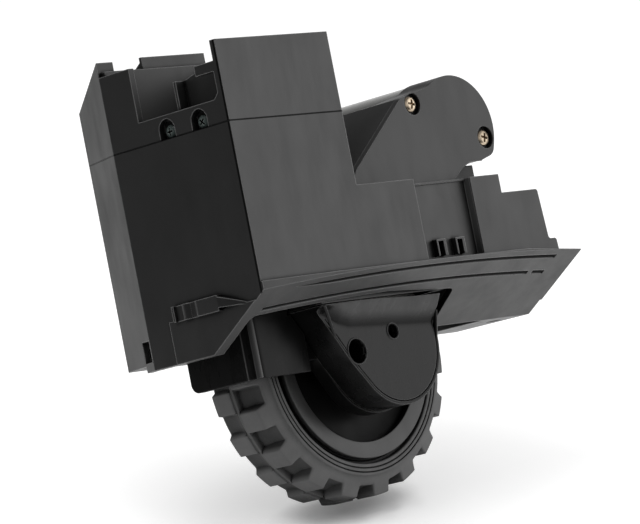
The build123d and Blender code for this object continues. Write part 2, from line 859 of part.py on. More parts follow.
def motor_plate_cuts():
    """Holes in the motor plate for the motor's nose and its two screws."""
    cuts = rod(motor, motor_boss_radius + fixed_gap, (motor_plate_y - 1, motor_face_y + 1))
    for place in motor_screw_places():
        cuts += rod(place, motor_screw[2] + fixed_gap, (motor_plate_y - 1, motor_face_y + 1))
    return cuts


def motor_screw_places():
    """Places of the screws that hold the motor."""
    return [around(motor, motor_screw_radius, motor_screw_angle + turn) for turn in (0, 180)]


def gear_pin_places():
    """The gear pins' centres with their front and back ends."""
    front = cover_front + cover_thickness / 2
    return [(first_centre, front, motor_face_y - 0.2), (second_centre, front, case_back - 0.5),
            (third_centre, front, case_back - 0.5)]


def gear_pins():
    """The pins that the three middle gears turn on."""
    return [rod(centre, gear_pin_radius, (start, end)) for centre, start, end in gear_pin_places()]


def gearbox_cover():
    """The arm's front plate."""
    solid = across(arm_outline(), (cover_front, cover_back))
    for centre, start, end in gear_pin_places():
        solid -= rod(centre, gear_pin_radius + fixed_gap, (start, cover_back + 1))
    seat = cover_back - 0.5
    for place in cover_screw_places:
        solid -= rod(place, cover_screw[2] + fixed_gap, (cover_front - 1, cover_back + 1))
        solid -= rod(place, cover_bore_radius, (cover_front - 1, seat))
    return solid


def cover_screws():
    """The screws of the arm's front plate."""
    return [across_at(place, cover_back - 0.5) * screw(cover_screw, cover_screw_length)
            for place in cover_screw_places]


def across_at(place, y):
    """The location of a place (x, z) at a depth."""
    return Pos(place[0], y, place[1])


def drive_cover():
    """The cover over the final gears, with a top edge that flares out to meet the front plate."""
    inner = offset(gearbox_outline(), -drive_cover_wall, kind=Kind.INTERSECTION)
    front = drive_cover_front
    split = case_split - fixed_gap
    solid = across(drive_outline(), (front, front + drive_cover_wall))
    solid += across(drive_outline() - inner, (front, split))
    top = drive_top_z - side_gap
    flare = area((front, flare_z), (flare_y, top), (flare_y + flare_thickness, top),
                 (front + drive_cover_wall, flare_z - 0.5))
    below = box((0, skirt_width), (0, split + 1), (wheel_z - tyre_radius, top))
    solid -= box((0, flare_right), (front - 1, front + drive_cover_wall + 0.1), (flare_z, drive_top_z + 1))
    end = area((front, flare_z), (flare_y, top), (front + drive_cover_wall, top),
               (front + drive_cover_wall, flare_z))
    face = along(flare, (0, flare_right)) + along(end, (flare_right - drive_cover_wall, flare_right))
    solid += across(drive_outline(), (0, split)) & face
    solid &= below
    cup = (front, front + big_hole_depth + drive_cover_wall)
    solid += rod(big_hole, big_hole_radius + drive_cover_wall / 2, (front + 0.1, cup[1]))
    solid -= rod(big_hole, big_hole_radius, (front - 1, front + big_hole_depth))
    solid -= rod(big_hole, drive_screw[2] + fixed_gap, (front, cup[1] + 1))
    solid -= rod(small_hole, small_hole_radius, (front - 1, front + drive_cover_wall + 1))
    return solid - rod(big_hole, drive_boss_radius + side_gap / 3, (cup[1], case_floor))


def drive_screws():
    """The screw deep inside the lower cover's large hole."""
    return across_at(big_hole, drive_cover_front + big_hole_depth) * screw(drive_screw, drive_screw_length)


def fender_ear():
    """The case's ear that carries the fender."""
    low = fender_screw_places[1][1] - fender_ear_margin
    high = fender_screw_places[0][1] + fender_ear_margin
    right_top, right_low = fender_ear_right
    shape = area((fender_ear_left, low), (right_low, low), (right_top, high), (fender_ear_left, high))
    ear = across(shape, (case_split, case_floor))
    for place in fender_screw_places:
        ear -= rod(place, fender_screw[2] + fixed_gap, (case_split - 1, case_back))
    return ear


def fender():
    """The guard beside the wheel: a side wall, a front wall and a short roof."""
    low, high = fender_z
    left = fender_x
    front = fender_front_y
    plan = area((left, front), (fender_right, front), (fender_right, case_split - fixed_gap),
                (left + wall, case_split - fixed_gap), (left + wall, fender_back_y), (left, fender_back_y))
    solid = upright(plan, fender_z)
    corner = solid.edges().filter_by(Axis.Z).sort_by_distance((left, front, low))[0]
    solid = fillet(corner, fender_corner)
    heel = solid.edges().filter_by(Axis.X).sort_by_distance((left, fender_back_y, low))[0]
    solid = fillet(heel, fender_corner)
    solid += box((left + wall / 2, left + fender_roof), (case_split + side_gap, fender_back_y),
                 (high - wall, high))
    solid -= across(offset(gearbox_outline(), case_lip + side_gap, kind=Kind.INTERSECTION), (0, case_back))
    for place in fender_screw_places:
        solid -= rod(place, fender_screw[2] + fixed_gap, (front + fender_screw_seat, case_back))
    return solid


def fender_screws():
    """The screws that hold the fender, from behind the ear."""
    return [across_at(place, case_floor) * Rot(0, 0, 180) * screw(fender_screw, fender_screw_length)
            for place in fender_screw_places]


def motor_can():
    """The motor's drawn steel can with its nose."""
    back = motor_face_y + motor_length
    solid = rod(motor, motor_radius, (motor_face_y, back))
    solid -= rod(motor, motor_radius - motor_wall, (motor_face_y + motor_wall, back + 1))
    solid += rod(motor, motor_boss_radius, (motor_face_y - motor_boss_height, motor_face_y + motor_wall))
    solid -= rod(motor, motor_shaft_radius + running_gap, (0, back))
    for place in motor_screw_places():
        solid -= rod(place, motor_screw[2] + fixed_gap, (motor_face_y - 1, motor_face_y + motor_wall + 1))
    return solid


def motor_end_cap():
    """The motor's plastic end cap with two posts for the encoder board."""
    front = motor_face_y + motor_length
    back = front + motor_cap_thickness
    solid = rod(motor, motor_radius, (front, back))
    solid += sleeve(motor, motor_radius - motor_wall - fixed_gap, motor_radius - 2 * motor_wall,
                    (front - motor_cap_spigot, front))
    for turn in (0, 180):
        post = around(motor, encoder_post_place, turn)
        solid += rod(post, encoder_post_radius, (back, encoder_board_y()))
    return solid - rod(motor, motor_shaft_radius + running_gap, (front - 3, back + 1))


def encoder_board_y():
    """Front face of the encoder board."""
    back = motor_face_y + motor_length + motor_cap_thickness
    return back + encoder_magnet_thickness + 2 * encoder_gap


def encoder_board():
    """The small round board behind the encoder magnet."""
    front = encoder_board_y()
    solid = rod(motor, encoder_board_radius, (front, front + encoder_board_thickness))
    cut = encoder_post_place + encoder_post_radius
    return solid & box((motor_x - cut, motor_x + cut), (0, 2 * housing_depth),
                       (motor_z - cut / 2, motor_z + cut / 2))


def encoder_magnet():
    """The magnet disc on the motor shaft's back end."""
    front = motor_face_y + motor_length + motor_cap_thickness + encoder_gap
    return sleeve(motor, encoder_magnet_radius, motor_shaft_radius + fixed_gap,
                  (front, front + encoder_magnet_thickness))


def field_magnets():
    """The two magnets glued inside the motor's can."""
    outer = motor_radius - motor_wall - fixed_gap
    ring = disc(motor, outer) - disc(motor, field_magnet_radius)
    solids = []
    for turn in (0, 180):
        ends = [around(motor, 3 * outer, turn + side * field_magnet_angle / 2) for side in (-1, 0, 1)]
        sector = area(motor, *ends)
        solids.append(across(ring & sector, armature_y))
    return solids


def motor_armature():
    """The wound core on the motor's shaft."""
    return sleeve(motor, armature_radius, motor_shaft_radius + fixed_gap, armature_y)


def motor_shaft():
    """The motor's shaft, from the pinion to the encoder magnet."""
    back = motor_face_y + motor_length + motor_cap_thickness + encoder_gap + encoder_magnet_thickness
    return rod(motor, motor_shaft_radius, (layer_motor[0] - 0.8, back))


def motor_screws():
    """The screws that hold the motor to its plate."""
    return [across_at(place, motor_plate_y) * screw(motor_screw, motor_screw_length)
            for place in motor_screw_places()]


def pivot_pin():
    """The pin that the arm swings on."""
    return rod(pivot, pivot_pin_radius, (right_panel_y + wall, housing_depth - wall))


def pivot_bushes():
    """The brass bushes pressed into the arm's lugs."""
    return [sleeve(pivot, pivot_bush_radius, pivot_pin_radius + running_gap, y)
            for y in (front_lug_y, rear_lug_y)]


def suspension_spring():
    """The torsion spring round the pivot pin, with its two legs."""
    length = spring_y[1] - spring_y[0]
    coil = Helix(pitch=length / spring_turns, height=length, radius=spring_coil_radius)
    section = Plane(coil @ 0, z_dir=coil % 0) * Circle(spring_wire_radius)
    body = Pos(pivot_x, spring_y[1], pivot_z) * Rot(90, 0, 0) * sweep(section, coil, is_frenet=True)
    side = pivot_x + spring_coil_radius
    for y, sign in ((spring_y[0], -1), (spring_y[1], 1)):
        centre = Pos(side, y, pivot_z + sign * spring_leg / 2)
        body += centre * Cylinder(spring_wire_radius, spring_leg)
    return body


def involute(radius, angle):
    """A point of an involute: its distance from the gear's centre and its angle."""
    roll = sqrt(max((angle / radius) ** 2 - 1, 0))
    return roll - atan(roll)


def tooth_places(teeth, module, phase):
    """Points round a spur gear with involute flanks."""
    pitch_radius = teeth * module / 2
    base = pitch_radius * cos(radians(pressure_angle))
    root = pitch_radius - dedendum * module
    tip = pitch_radius + addendum * module
    half_pitch_angle = (pi / teeth - backlash / pitch_radius) / 2
    offset_angle = half_pitch_angle + involute(base, pitch_radius)
    start = max(base, root)
    radii = [start + (tip - start) * step / 3 for step in range(4)]
    flank = [(radius, offset_angle - involute(base, radius)) for radius in radii]
    if root < start:
        flank = [(root, flank[0][1])] + flank
    points = []
    for index in range(teeth):
        centre = radians(phase) + 2 * pi * index / teeth
        points += [(radius, centre - angle) for radius, angle in flank]
        points += [(radius, centre + angle) for radius, angle in reversed(flank)]
    return [(radius * cos(angle), radius * sin(angle)) for radius, angle in points]


def spur_gear(teeth, module, centre, phase, y):
    """A spur gear between two depths."""
    shape = Pos(*centre) * area(*tooth_places(teeth, module, phase))
    return across(shape, y)


def meshing_phase(centre, teeth, phase, other_centre, other_teeth):
    """Phase of a gear whose gaps meet another gear's teeth."""
    line = direction(centre, other_centre)
    part = (line - phase) / (360 / teeth)
    return line + 180 - (0.5 - part) * 360 / other_teeth


def gear_phases():
    """The phases of the gears, from the motor's pinion to the wheel's gear."""
    first = meshing_phase(motor, motor_pair[0], 0, first_centre, motor_pair[1])
    second = meshing_phase(first_centre, second_pair[0], first, second_centre, second_pair[1])
    third = meshing_phase(second_centre, third_pair[0], second, third_centre, third_pair[1])
    final = meshing_phase(third_centre, final_pair[0], third, wheel, final_pair[1])
    return first, second, third, final


def compound_gear(centre, phase, large, small, hub_y):
    """A large and a small gear on one hub, each given as teeth, module and layer."""
    solid = rod(centre, gear_hub_radius, hub_y)
    for teeth, module, layer in (large, small):
        solid += spur_gear(teeth, module, centre, phase, layer)
    limits = sorted((large[2], small[2]))
    solid += rod(centre, small[0] * small[1] / 2 - dedendum * small[1], (limits[0][0], limits[1][1]))
    return solid - rod(centre, gear_pin_radius + running_gap, (0, housing_depth))


def middle_gears():
    """The three gears between the motor and the wheel."""
    phases = gear_phases()
    front = cover_back + side_gap
    first = compound_gear(first_centre, phases[0], (motor_pair[1], motor_pair[2], layer_motor),
                          (second_pair[0], second_pair[2], layer_outer), (front, motor_plate_y - side_gap))
    second = compound_gear(second_centre, phases[1], (second_pair[1], second_pair[2], layer_outer),
                           (third_pair[0], third_pair[2], layer_middle), (front, case_floor - side_gap))
    third = compound_gear(third_centre, phases[2], (third_pair[1], third_pair[2], layer_middle),
                          (final_pair[0], final_pair[2], layer_final), (front, case_floor - side_gap))
    return first, second, third


def motor_pinion():
    """The pinion on the motor's shaft."""
    return spur_gear(motor_pair[0], motor_pair[2], motor, 0, layer_motor) - rod(
        motor, motor_shaft_radius + fixed_gap, (0, motor_face_y))


def final_gear():
    """The gear on the wheel's axle."""
    solid = spur_gear(final_pair[1], final_pair[2], wheel, gear_phases()[3], layer_final)
    return solid - rod(wheel, axle_radius + fixed_gap, (0, housing_depth))


def axle_bushes():
    """The two bushes of the wheel's axle."""
    ends = ((case_floor, case_floor + axle_bush_length), (axle_tube_end - axle_bush_length, axle_tube_end))
    return [sleeve(wheel, axle_bush_radius, axle_radius + running_gap, y) for y in ends]


def wheel_axle():
    """The wheel's axle, tapped for the wheel's screw."""
    back = hub_boss_y[1]
    return rod(wheel, axle_radius, (layer_final[0], back)) - rod(
        wheel, wheel_screw[2] + fixed_gap, (back - wheel_screw_length - 0.5, back + 1))


def wheel_hub():
    """The wheel's moulded hub: rim, dished web, deep centre tube, boss and ribs."""
    rim = sleeve(wheel, rim_radius - fixed_gap, rim_radius - rim_thickness, rim_y)
    web_y = (rim_y[0] + dish_depth, rim_y[0] + 2 * dish_depth)
    tube_outer = hub_tube_radius + hub_tube_wall
    web = sleeve(wheel, rim_radius - rim_thickness / 2, hub_tube_radius, web_y)
    tube = sleeve(wheel, tube_outer, hub_tube_radius, (web_y[0], hub_boss_y[0]))
    hub_bore = axle_radius + fixed_gap
    solid = rim + web + tube + sleeve(wheel, tube_outer, hub_bore, hub_boss_y)
    solid += sleeve(wheel, rim_radius - rim_thickness / 2, ring_radius + 1,
                    (rim_y[0] + fixed_gap, web_y[1]))
    for index in range(hub_rib_count):
        rib = box((tube_outer - 0.5, rim_radius - rim_thickness / 2), (web_y[0] + 0.5, hub_boss_y[1] - 1),
                  (-wall / 2, wall / 2))
        solid += across_at(wheel, 0) * Rot(0, 360 / hub_rib_count * index, 0) * rib
    return solid


def rim_ring():
    """The pale trim ring on the wheel's face."""
    return sleeve(wheel, rim_radius - fixed_gap, ring_radius, ring_y)


def tyre():
    """The rubber tyre with two rows of lugs and sloping shoulders."""
    front, back = tyre_y
    low, high = tread_y
    middle = (low + high) / 2
    half_ridge = tread_ridge / 2
    solid = tread_ring(tread_phase, (front, middle - half_ridge))
    solid += tread_ring(tread_phase + 180 / tread_lug_count, (middle + half_ridge, back))
    ridge_limits = (middle - half_ridge, middle + half_ridge)
    solid += sleeve((0, 0), tyre_radius - tread_ridge_drop, rim_radius, ridge_limits)
    solid -= shoulder_cut((front, front + tyre_bead, low))
    solid -= shoulder_cut((back, back - tyre_bead, high))
    return across_at(wheel, 0) * solid


def tread_ring(phase, y):
    """One row of lugs with the carcass under it."""
    shape = disc((0, 0), tyre_radius)
    for index in range(tread_lug_count):
        shape -= tread_gap(phase + (index + 0.5) * 360 / tread_lug_count)
    return across(shape - disc((0, 0), rim_radius), y)


def shoulder_cut(places):
    """What the sloping shoulder takes off the lugs, from the side wall's face to the tread."""
    face, edge, tread = places
    limits = sorted((edge, tread))
    upright_cone = Cone(tyre_shoulder_radius, tyre_radius, abs(tread - edge))
    turn = -90 if tread > edge else 90
    cone = Pos(0, (edge + tread) / 2, 0) * Rot(turn, 0, 0) * upright_cone
    outside = rod((0, 0), tyre_radius + 5, limits) - cone
    return outside + sleeve((0, 0), tyre_radius + 5, tyre_shoulder_radius, sorted((face, edge)))


def tread_gap(angle):
    """The gap between two lugs, seen along the axle."""
    outer = tyre_radius + 1
    half_top = gap_angle_top / 2
    half_root = gap_angle_root / 2
    corners = ((tyre_root_radius, -half_root), (outer, -half_top), (outer, half_top),
               (tyre_root_radius, half_root))
    return area(*[around((0, 0), radius, angle + turn) for radius, turn in corners])


def wheel_screw_piece():
    """The screw that holds the wheel on its axle."""
    return across_at(wheel, hub_boss_y[1]) * Rot(0, 0, 180) * screw(wheel_screw, wheel_screw_length)


def drop_switch_body():
    """The body of the switch that feels the arm drop."""
    solid = box(switch_x, switch_y, switch_z)
    for z in switch_screw_z:
        solid -= rod((switch_screw_x, z), switch_screw[2] + fixed_gap, (0, switch_y[1] + 1))
    middle = sum(switch_y) / 2
    foot = lever_foot()
    inner = lever_width / 2 + side_gap / 2
    outer = inner + lever_ear
    for limits in ((middle - outer, middle - inner), (middle + inner, middle + outer)):
        solid += rod(foot, lever_eye_radius, limits)
        solid += box((foot[0], switch_x[0]), limits,
                     (foot[1] - lever_eye_radius, foot[1] + lever_eye_radius))
    return solid + rod(foot, lever_pin_radius, (middle - inner, middle + inner))


def lever_foot():
    """The axis of the switch's lever."""
    return (switch_x[0] - lever_eye_radius - side_gap, lever_foot_z)


def switch_lever():
    """The lever that the arm's striker presses on."""
    foot = lever_foot()
    angle = direction(foot, lever_tip)
    side = around((0, 0), lever_thickness / 2, angle + 90)
    start = around(foot, lever_eye_radius / 2, angle)
    middle = sum(switch_y) / 2
    blade = area((start[0] + side[0], start[1] + side[1]), (start[0] - side[0], start[1] - side[1]),
                 (lever_tip[0] - side[0], lever_tip[1] - side[1]),
                 (lever_tip[0] + side[0], lever_tip[1] + side[1]))
    y = (middle - lever_width / 2, middle + lever_width / 2)
    eye = disc(foot, lever_eye_radius)
    return across(blade + eye, y) - rod(foot, lever_pin_radius + running_gap, (y[0] - 1, y[1] + 1))


def switch_screws():
    """The screws that hold the drop switch."""
    seat = switch_y[0] - switch_rib
    return [across_at((switch_screw_x, z), seat) * screw(switch_screw, switch_screw_length)
            for z in switch_screw_z]


def striker():
    """The finger on the arm's front lug that presses the switch's lever."""
    right = lever_tip[0] - lever_thickness - lever_gap
    return box((right - striker_width, right), striker_y, (striker_end_z, pivot_z - pivot_lug_radius / 2))


def build():
    """All pieces by name."""
    first, second, third = middle_gears()
    return {
        "lower_housing": lower_housing(),
        "upper_housing": upper_housing(),
        "housing_screws": housing_screws(),
        "wiring_connector": connector_body(),
        "connector_pins": connector_pins(),
        "pivot_pin": pivot_pin(),
        "suspension_spring": suspension_spring(),
        "drop_switch_body": drop_switch_body(),
        "switch_screws": switch_screws(),
        "switch_lever": switch_lever(),
        "gearbox_case": gearbox_case() + striker(),
        "gearbox_cover": gearbox_cover(),
        "final_drive_cover": drive_cover(),
        "fender": fender(),
        "fender_screws": fender_screws(),
        "cover_screws": cover_screws(),
        "drive_cover_screw": drive_screws(),
        "pivot_bushes": pivot_bushes(),
        "axle_bushes": axle_bushes(),
        "gear_pins": gear_pins(),
        "motor_can": motor_can(),
        "motor_end_cap": motor_end_cap(),
        "motor_magnets": field_magnets(),
        "motor_screws": motor_screws(),
        "encoder_board": encoder_board(),
        "motor_shaft": motor_shaft(),
        "motor_pinion": motor_pinion(),
        "motor_armature": motor_armature(),
        "encoder_magnet": encoder_magnet(),
        "first_gear": first,
        "second_gear": second,
        "third_gear": third,
        "final_gear": final_gear(),
        "wheel_axle": wheel_axle(),
        "wheel_hub": wheel_hub(),
        "rim_ring": rim_ring(),
        "tyre": tyre(),
        "wheel_screw": wheel_screw_piece(),
    }


def write_pieces():
    """Write every piece, moved so that the origin lies on the flange's seat."""
    os.makedirs("parts", exist_ok=True)
    shift = Pos(-origin[0], -origin[1], -origin[2])
    for name, shape in build().items():
        solids = shape if isinstance(shape, list) else shape.solids()
        placed = [shift * solid for solid in solids]
        piece = placed[0] if len(placed) == 1 else Compound(children=placed)
        export_step(piece, f"parts/{name}.step")


write_pieces()
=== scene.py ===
import json
import math

import bmesh
import bpy
from mathutils import Matrix, Vector


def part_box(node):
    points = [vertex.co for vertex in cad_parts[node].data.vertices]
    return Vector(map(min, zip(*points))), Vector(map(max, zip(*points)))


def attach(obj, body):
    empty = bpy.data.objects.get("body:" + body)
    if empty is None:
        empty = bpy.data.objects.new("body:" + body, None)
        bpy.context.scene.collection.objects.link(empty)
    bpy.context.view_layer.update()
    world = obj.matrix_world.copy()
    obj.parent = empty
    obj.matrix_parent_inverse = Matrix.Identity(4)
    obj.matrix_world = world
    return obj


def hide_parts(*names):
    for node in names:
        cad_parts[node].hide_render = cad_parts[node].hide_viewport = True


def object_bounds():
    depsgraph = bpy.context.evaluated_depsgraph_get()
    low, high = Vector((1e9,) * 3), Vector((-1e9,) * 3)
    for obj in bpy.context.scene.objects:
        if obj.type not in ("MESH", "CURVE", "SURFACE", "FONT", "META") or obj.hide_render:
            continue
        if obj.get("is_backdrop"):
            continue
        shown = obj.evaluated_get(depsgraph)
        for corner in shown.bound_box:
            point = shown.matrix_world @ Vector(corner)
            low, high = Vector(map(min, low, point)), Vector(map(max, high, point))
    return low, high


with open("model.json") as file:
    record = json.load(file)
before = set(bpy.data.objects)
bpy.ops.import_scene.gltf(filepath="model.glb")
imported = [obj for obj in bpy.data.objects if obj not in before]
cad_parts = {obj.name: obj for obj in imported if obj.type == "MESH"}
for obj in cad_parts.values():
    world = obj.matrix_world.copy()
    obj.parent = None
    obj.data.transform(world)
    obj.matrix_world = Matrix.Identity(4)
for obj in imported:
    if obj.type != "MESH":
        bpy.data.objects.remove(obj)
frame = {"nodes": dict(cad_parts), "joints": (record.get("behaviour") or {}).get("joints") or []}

bl_info = {
    "name": "Drive wheel module",
    "version": (1, 0, 0),
    "blender": (4, 5, 0),
    "location": "3D View > Sidebar > Wheel module",
    "description": "Dresses the drive wheel module's solids with detailed pieces and finishes",
    "category": "Object",
}

cad_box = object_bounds()
mm = 0.001

# The housing's front left corner at the seam between its halves. Places below are millimetres from
# it: X along the front, Y into the robot, Z up.
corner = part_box("upper_housing")[0]


def at(x, y, z):
    """A place in metres from one in millimetres off the housing's corner."""
    return corner + Vector((x, y, z)) * mm


wheel_joint = next(joint for joint in frame["joints"] if joint["name"] == "wheel_spin")
wheel_place = Vector(wheel_joint["pos_m"])
tyre_low, tyre_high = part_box("tyre")
tyre_middle = (Vector(tyre_low) + Vector(tyre_high)) / 2


# Shader groups

groups = {}
materials = {}
# The black that shade is painted in, also used for the seam's dark line
shade_and_seam_black = (0.003, 0.003, 0.003, 1.0)


def feed(tree, socket, value):
    """Links a socket to another one, or sets it to a plain value."""
    if isinstance(value, bpy.types.NodeSocket):
        tree.links.new(value, socket)
    else:
        socket.default_value = value


def node(tree, kind, feeds=None, **settings):
    """A new node with its settings and what feeds its inputs."""
    made = tree.nodes.new(kind)
    for name, value in settings.items():
        setattr(made, name, value)
    for name, value in (feeds or {}).items():
        feed(tree, made.inputs[name], value)
    return made


def new_group(name, inputs, outputs):
    """A shader node group: its tree, what is given to it, and what it puts out."""
    tree = bpy.data.node_groups.new(name, "ShaderNodeTree")
    for socket, value in inputs.items():
        kind = "NodeSocketFloat"
        if isinstance(value, tuple):
            kind = "NodeSocketColor" if len(value) == 4 else "NodeSocketVector"
        made = tree.interface.new_socket(socket, in_out="INPUT", socket_type=kind)
        made.default_value = value
    for socket in outputs:
        kind = {"Color": "NodeSocketColor", "Normal": "NodeSocketVector"}.get(socket, "NodeSocketFloat")
        tree.interface.new_socket(socket, in_out="OUTPUT", socket_type=kind)
    groups[name] = tree
    return tree, tree.nodes.new("NodeGroupInput").outputs, tree.nodes.new("NodeGroupOutput").inputs


def noise(tree, vector, scale, detail, roughness):
    """A noise texture on a vector; scale is a number or a socket."""
    made = node(tree, "ShaderNodeTexNoise", {
        "Vector": vector, "Scale": scale, "Detail": detail, "Roughness": roughness})
    return made.outputs["Fac"]


def calculate(tree, operation, first, second=0.0, third=0.0, clamp=False):
    """A maths node on numbers or sockets."""
    return node(tree, "ShaderNodeMath", {0: first, 1: second, 2: third}, operation=operation,
                use_clamp=clamp).outputs["Value"]


def spread(tree, value, low, high, to_low, to_high):
    """A value remapped from one range to another."""
    made = node(tree, "ShaderNodeMapRange", {
        "Value": value, "From Min": low, "From Max": high, "To Min": to_low, "To Max": to_high}, clamp=True)
    return made.outputs["Result"]


def mixed(tree, factor, first, second):
    """Two colours mixed by a factor."""
    return node(tree, "ShaderNodeMix", {0: factor, 6: first, 7: second}, data_type="RGBA",
                clamp_factor=True).outputs[2]


def object_place(tree):
    """Object coordinates."""
    return node(tree, "ShaderNodeTexCoord").outputs["Object"]


def axes(tree, vector):
    """A vector's X, Y and Z."""
    return node(tree, "ShaderNodeSeparateXYZ", {"Vector": vector}).outputs


def axes_from(tree, origin):
    """X, Y and Z of a place on the piece, measured from an origin."""
    away = node(tree, "ShaderNodeVectorMath", {0: object_place(tree), 1: origin}, operation="SUBTRACT")
    return axes(tree, away.outputs["Vector"])


def rounded_edges_group():
    """Rounds sharp edges in the shading and finds the edges, which take wear and a painted highlight."""
    tree, given, out = new_group("Rounded edges", {"Radius": 0.3 * mm}, ("Normal", "Mask"))
    bevel = node(tree, "ShaderNodeBevel", {"Radius": given["Radius"]}, samples=6).outputs["Normal"]
    flat = node(tree, "ShaderNodeNewGeometry").outputs["Normal"]
    likeness = node(tree, "ShaderNodeVectorMath", {0: bevel, 1: flat}, operation="DOT_PRODUCT")
    feed(tree, out["Normal"], bevel)
    feed(tree, out["Mask"], spread(tree, likeness.outputs["Value"], 0.99, 0.86, 0.0, 1.0))


def crevice_group():
    """Painted shade: finds a piece's own grooves and inner corners, and the deep hollows between pieces,
    where shade falls, to be painted dark.
    """
    tree, given, out = new_group("Crevices", {"Reach": 1.2 * mm, "Hollow Reach": 18 * mm}, ("Mask", "Open"))
    closed = node(tree, "ShaderNodeAmbientOcclusion", {"Distance": given["Reach"]}, samples=6,
                  only_local=True).outputs["AO"]
    hollow = node(tree, "ShaderNodeAmbientOcclusion", {"Distance": given["Hollow Reach"]},
                  samples=6).outputs["AO"]
    narrow = spread(tree, closed, 0.9, 0.55, 0.0, 1.0)
    deep = spread(tree, hollow, 0.42, 0.2, 0.0, 0.9)
    feed(tree, out["Mask"], calculate(tree, "MAXIMUM", narrow, deep))
    feed(tree, out["Open"], spread(tree, closed, 0.75, 0.95, 0.0, 1.0))


def seam_group():
    """Finds the thin dark line where the housing's halves meet."""
    tree, given, out = new_group("Seam line", {"Level": 0.0, "Width": 0.2 * mm}, ("Mask",))
    height = axes(tree, object_place(tree))["Z"]
    away = calculate(tree, "ABSOLUTE", calculate(tree, "SUBTRACT", height, given["Level"]))
    share = calculate(tree, "DIVIDE", away, given["Width"])
    feed(tree, out["Mask"], spread(tree, share, 0.8, 1.0, 1.0, 0.0))


def corner_line_group():
    """Painted shade: finds the thin line down the housing's front left corner, which is painted dark."""
    tree, given, out = new_group("Corner line", {"Corner": (0.0, 0.0, 0.0)}, ("Mask",))
    away = axes_from(tree, given["Corner"])
    side = calculate(tree, "ABSOLUTE", calculate(tree, "SUBTRACT", away["Y"], 0.5 * mm))
    line = calculate(tree, "MULTIPLY", spread(tree, side, 0.25 * mm, 0.4 * mm, 1.0, 0.0),
                     spread(tree, away["X"], 0.2 * mm, 0.3 * mm, 1.0, 0.0))
    feed(tree, out["Mask"], line)


def low_shade_group():
    """Painted shade, darker towards the bottom: finds what lies low on the arm, below a level."""
    tree, given, out = new_group("Low shade", {"Level": 0.0, "Depth": 6 * mm, "Strength": 0.7}, ("Mask",))
    below = calculate(tree, "SUBTRACT", given["Level"], axes(tree, object_place(tree))["Z"])
    feed(tree, out["Mask"], spread(tree, below, 0.0, given["Depth"], 0.0, given["Strength"]))


def moulded_group():
    """Colour, roughness and height of spark-eroded moulded plastic. The crevice mask is painted shade: black
    there, and Matt, fed to the shader's metal socket, takes the gloss off so it reflects nothing. The edge
    mask brings in the second colour: wear, and a painted highlight."""
    tree, given, out = new_group("Moulded plastic", {
        "Colour": (0.04, 0.04, 0.04, 1), "Worn Colour": (0.1, 0.1, 0.1, 1), "Edge Mask": 0.0,
        "Crevice Mask": 0.0, "Grain Size": 0.25, "Unevenness": 0.08, "Roughness": 0.45, "Dust": 0.0,
    }, ("Color", "Roughness", "Height", "Matt"))
    place = object_place(tree)
    grain = noise(tree, place, calculate(tree, "DIVIDE", 1000.0, given["Grain Size"]), 2.0, 0.6)
    cloud = noise(tree, place, 60.0, 4.0, 0.55)
    flow = node(tree, "ShaderNodeMapping", {"Vector": place, "Scale": (1.0, 1.0, 0.25)}).outputs["Vector"]
    streak = noise(tree, flow, 220.0, 3.0, 0.6)
    uneven = calculate(tree, "MULTIPLY", spread(tree, cloud, 0.35, 0.65, -1.0, 1.0), given["Unevenness"])
    fine = calculate(tree, "MULTIPLY", spread(tree, grain, 0.3, 0.7, -1.0, 1.0), given["Unevenness"])
    gain = calculate(tree, "ADD", 1.0, calculate(tree, "ADD", uneven, fine))
    shade = node(tree, "ShaderNodeVectorMath", {0: given["Colour"], "Scale": gain}, operation="SCALE")
    # Edges take the second colour: wear, and a painted highlight
    wear_and_highlight = calculate(tree, "MULTIPLY", given["Edge Mask"], spread(tree, streak, 0.3, 0.7, 0.6, 1.0))
    colour = mixed(tree, wear_and_highlight, shade.outputs["Vector"], given["Worn Colour"])
    speck = spread(tree, noise(tree, place, 1900.0, 1.0, 0.5), 0.66, 0.76, 0.0, 1.0)
    dusty = calculate(tree, "MULTIPLY", calculate(tree, "MULTIPLY", speck, given["Dust"]),
                      spread(tree, cloud, 0.45, 0.7, 0.2, 1.0))
    colour = mixed(tree, dusty, colour, (0.35, 0.34, 0.32, 1.0))
    hidden = calculate(tree, "MULTIPLY", given["Crevice Mask"], 0.85)
    rough = calculate(tree, "ADD", given["Roughness"], spread(tree, streak, 0.3, 0.7, -0.05, 0.05))
    rough = calculate(tree, "ADD", rough, calculate(tree, "MULTIPLY", uneven, 0.6), clamp=True)
    feed(tree, out["Color"], mixed(tree, hidden, colour, shade_and_seam_black))
    feed(tree, out["Roughness"], rough)
    feed(tree, out["Height"], grain)
    feed(tree, out["Matt"], hidden)


def turned_group():
    """Colour, roughness and height of turned or rolled metal, with tool marks round an axis."""
    tree, given, out = new_group("Turned metal", {
        "Colour": (0.6, 0.58, 0.55, 1), "Stain Colour": (0.3, 0.26, 0.2, 1), "Stain": 0.2, "Line Size": 0.12,
        "Roughness": 0.25,
    }, ("Color", "Roughness", "Height"))
    place = object_place(tree)
    squeeze = node(tree, "ShaderNodeMapping", {"Vector": place, "Scale": (0.02, 1.0, 0.02)})
    line_scale = calculate(tree, "DIVIDE", 1000.0, given["Line Size"])
    lines = noise(tree, squeeze.outputs["Vector"], line_scale, 2.0, 0.6)
    cloud = noise(tree, place, 320.0, 4.0, 0.6)
    stain = calculate(tree, "MULTIPLY", spread(tree, cloud, 0.45, 0.75, 0.0, 1.0), given["Stain"])
    rough = calculate(tree, "ADD", given["Roughness"], spread(tree, lines, 0.3, 0.7, -0.06, 0.08))
    rough = calculate(tree, "ADD", rough, calculate(tree, "MULTIPLY", stain, 0.3), clamp=True)
    feed(tree, out["Color"], mixed(tree, stain, given["Colour"], given["Stain Colour"]))
    feed(tree, out["Roughness"], rough)
    feed(tree, out["Height"], lines)


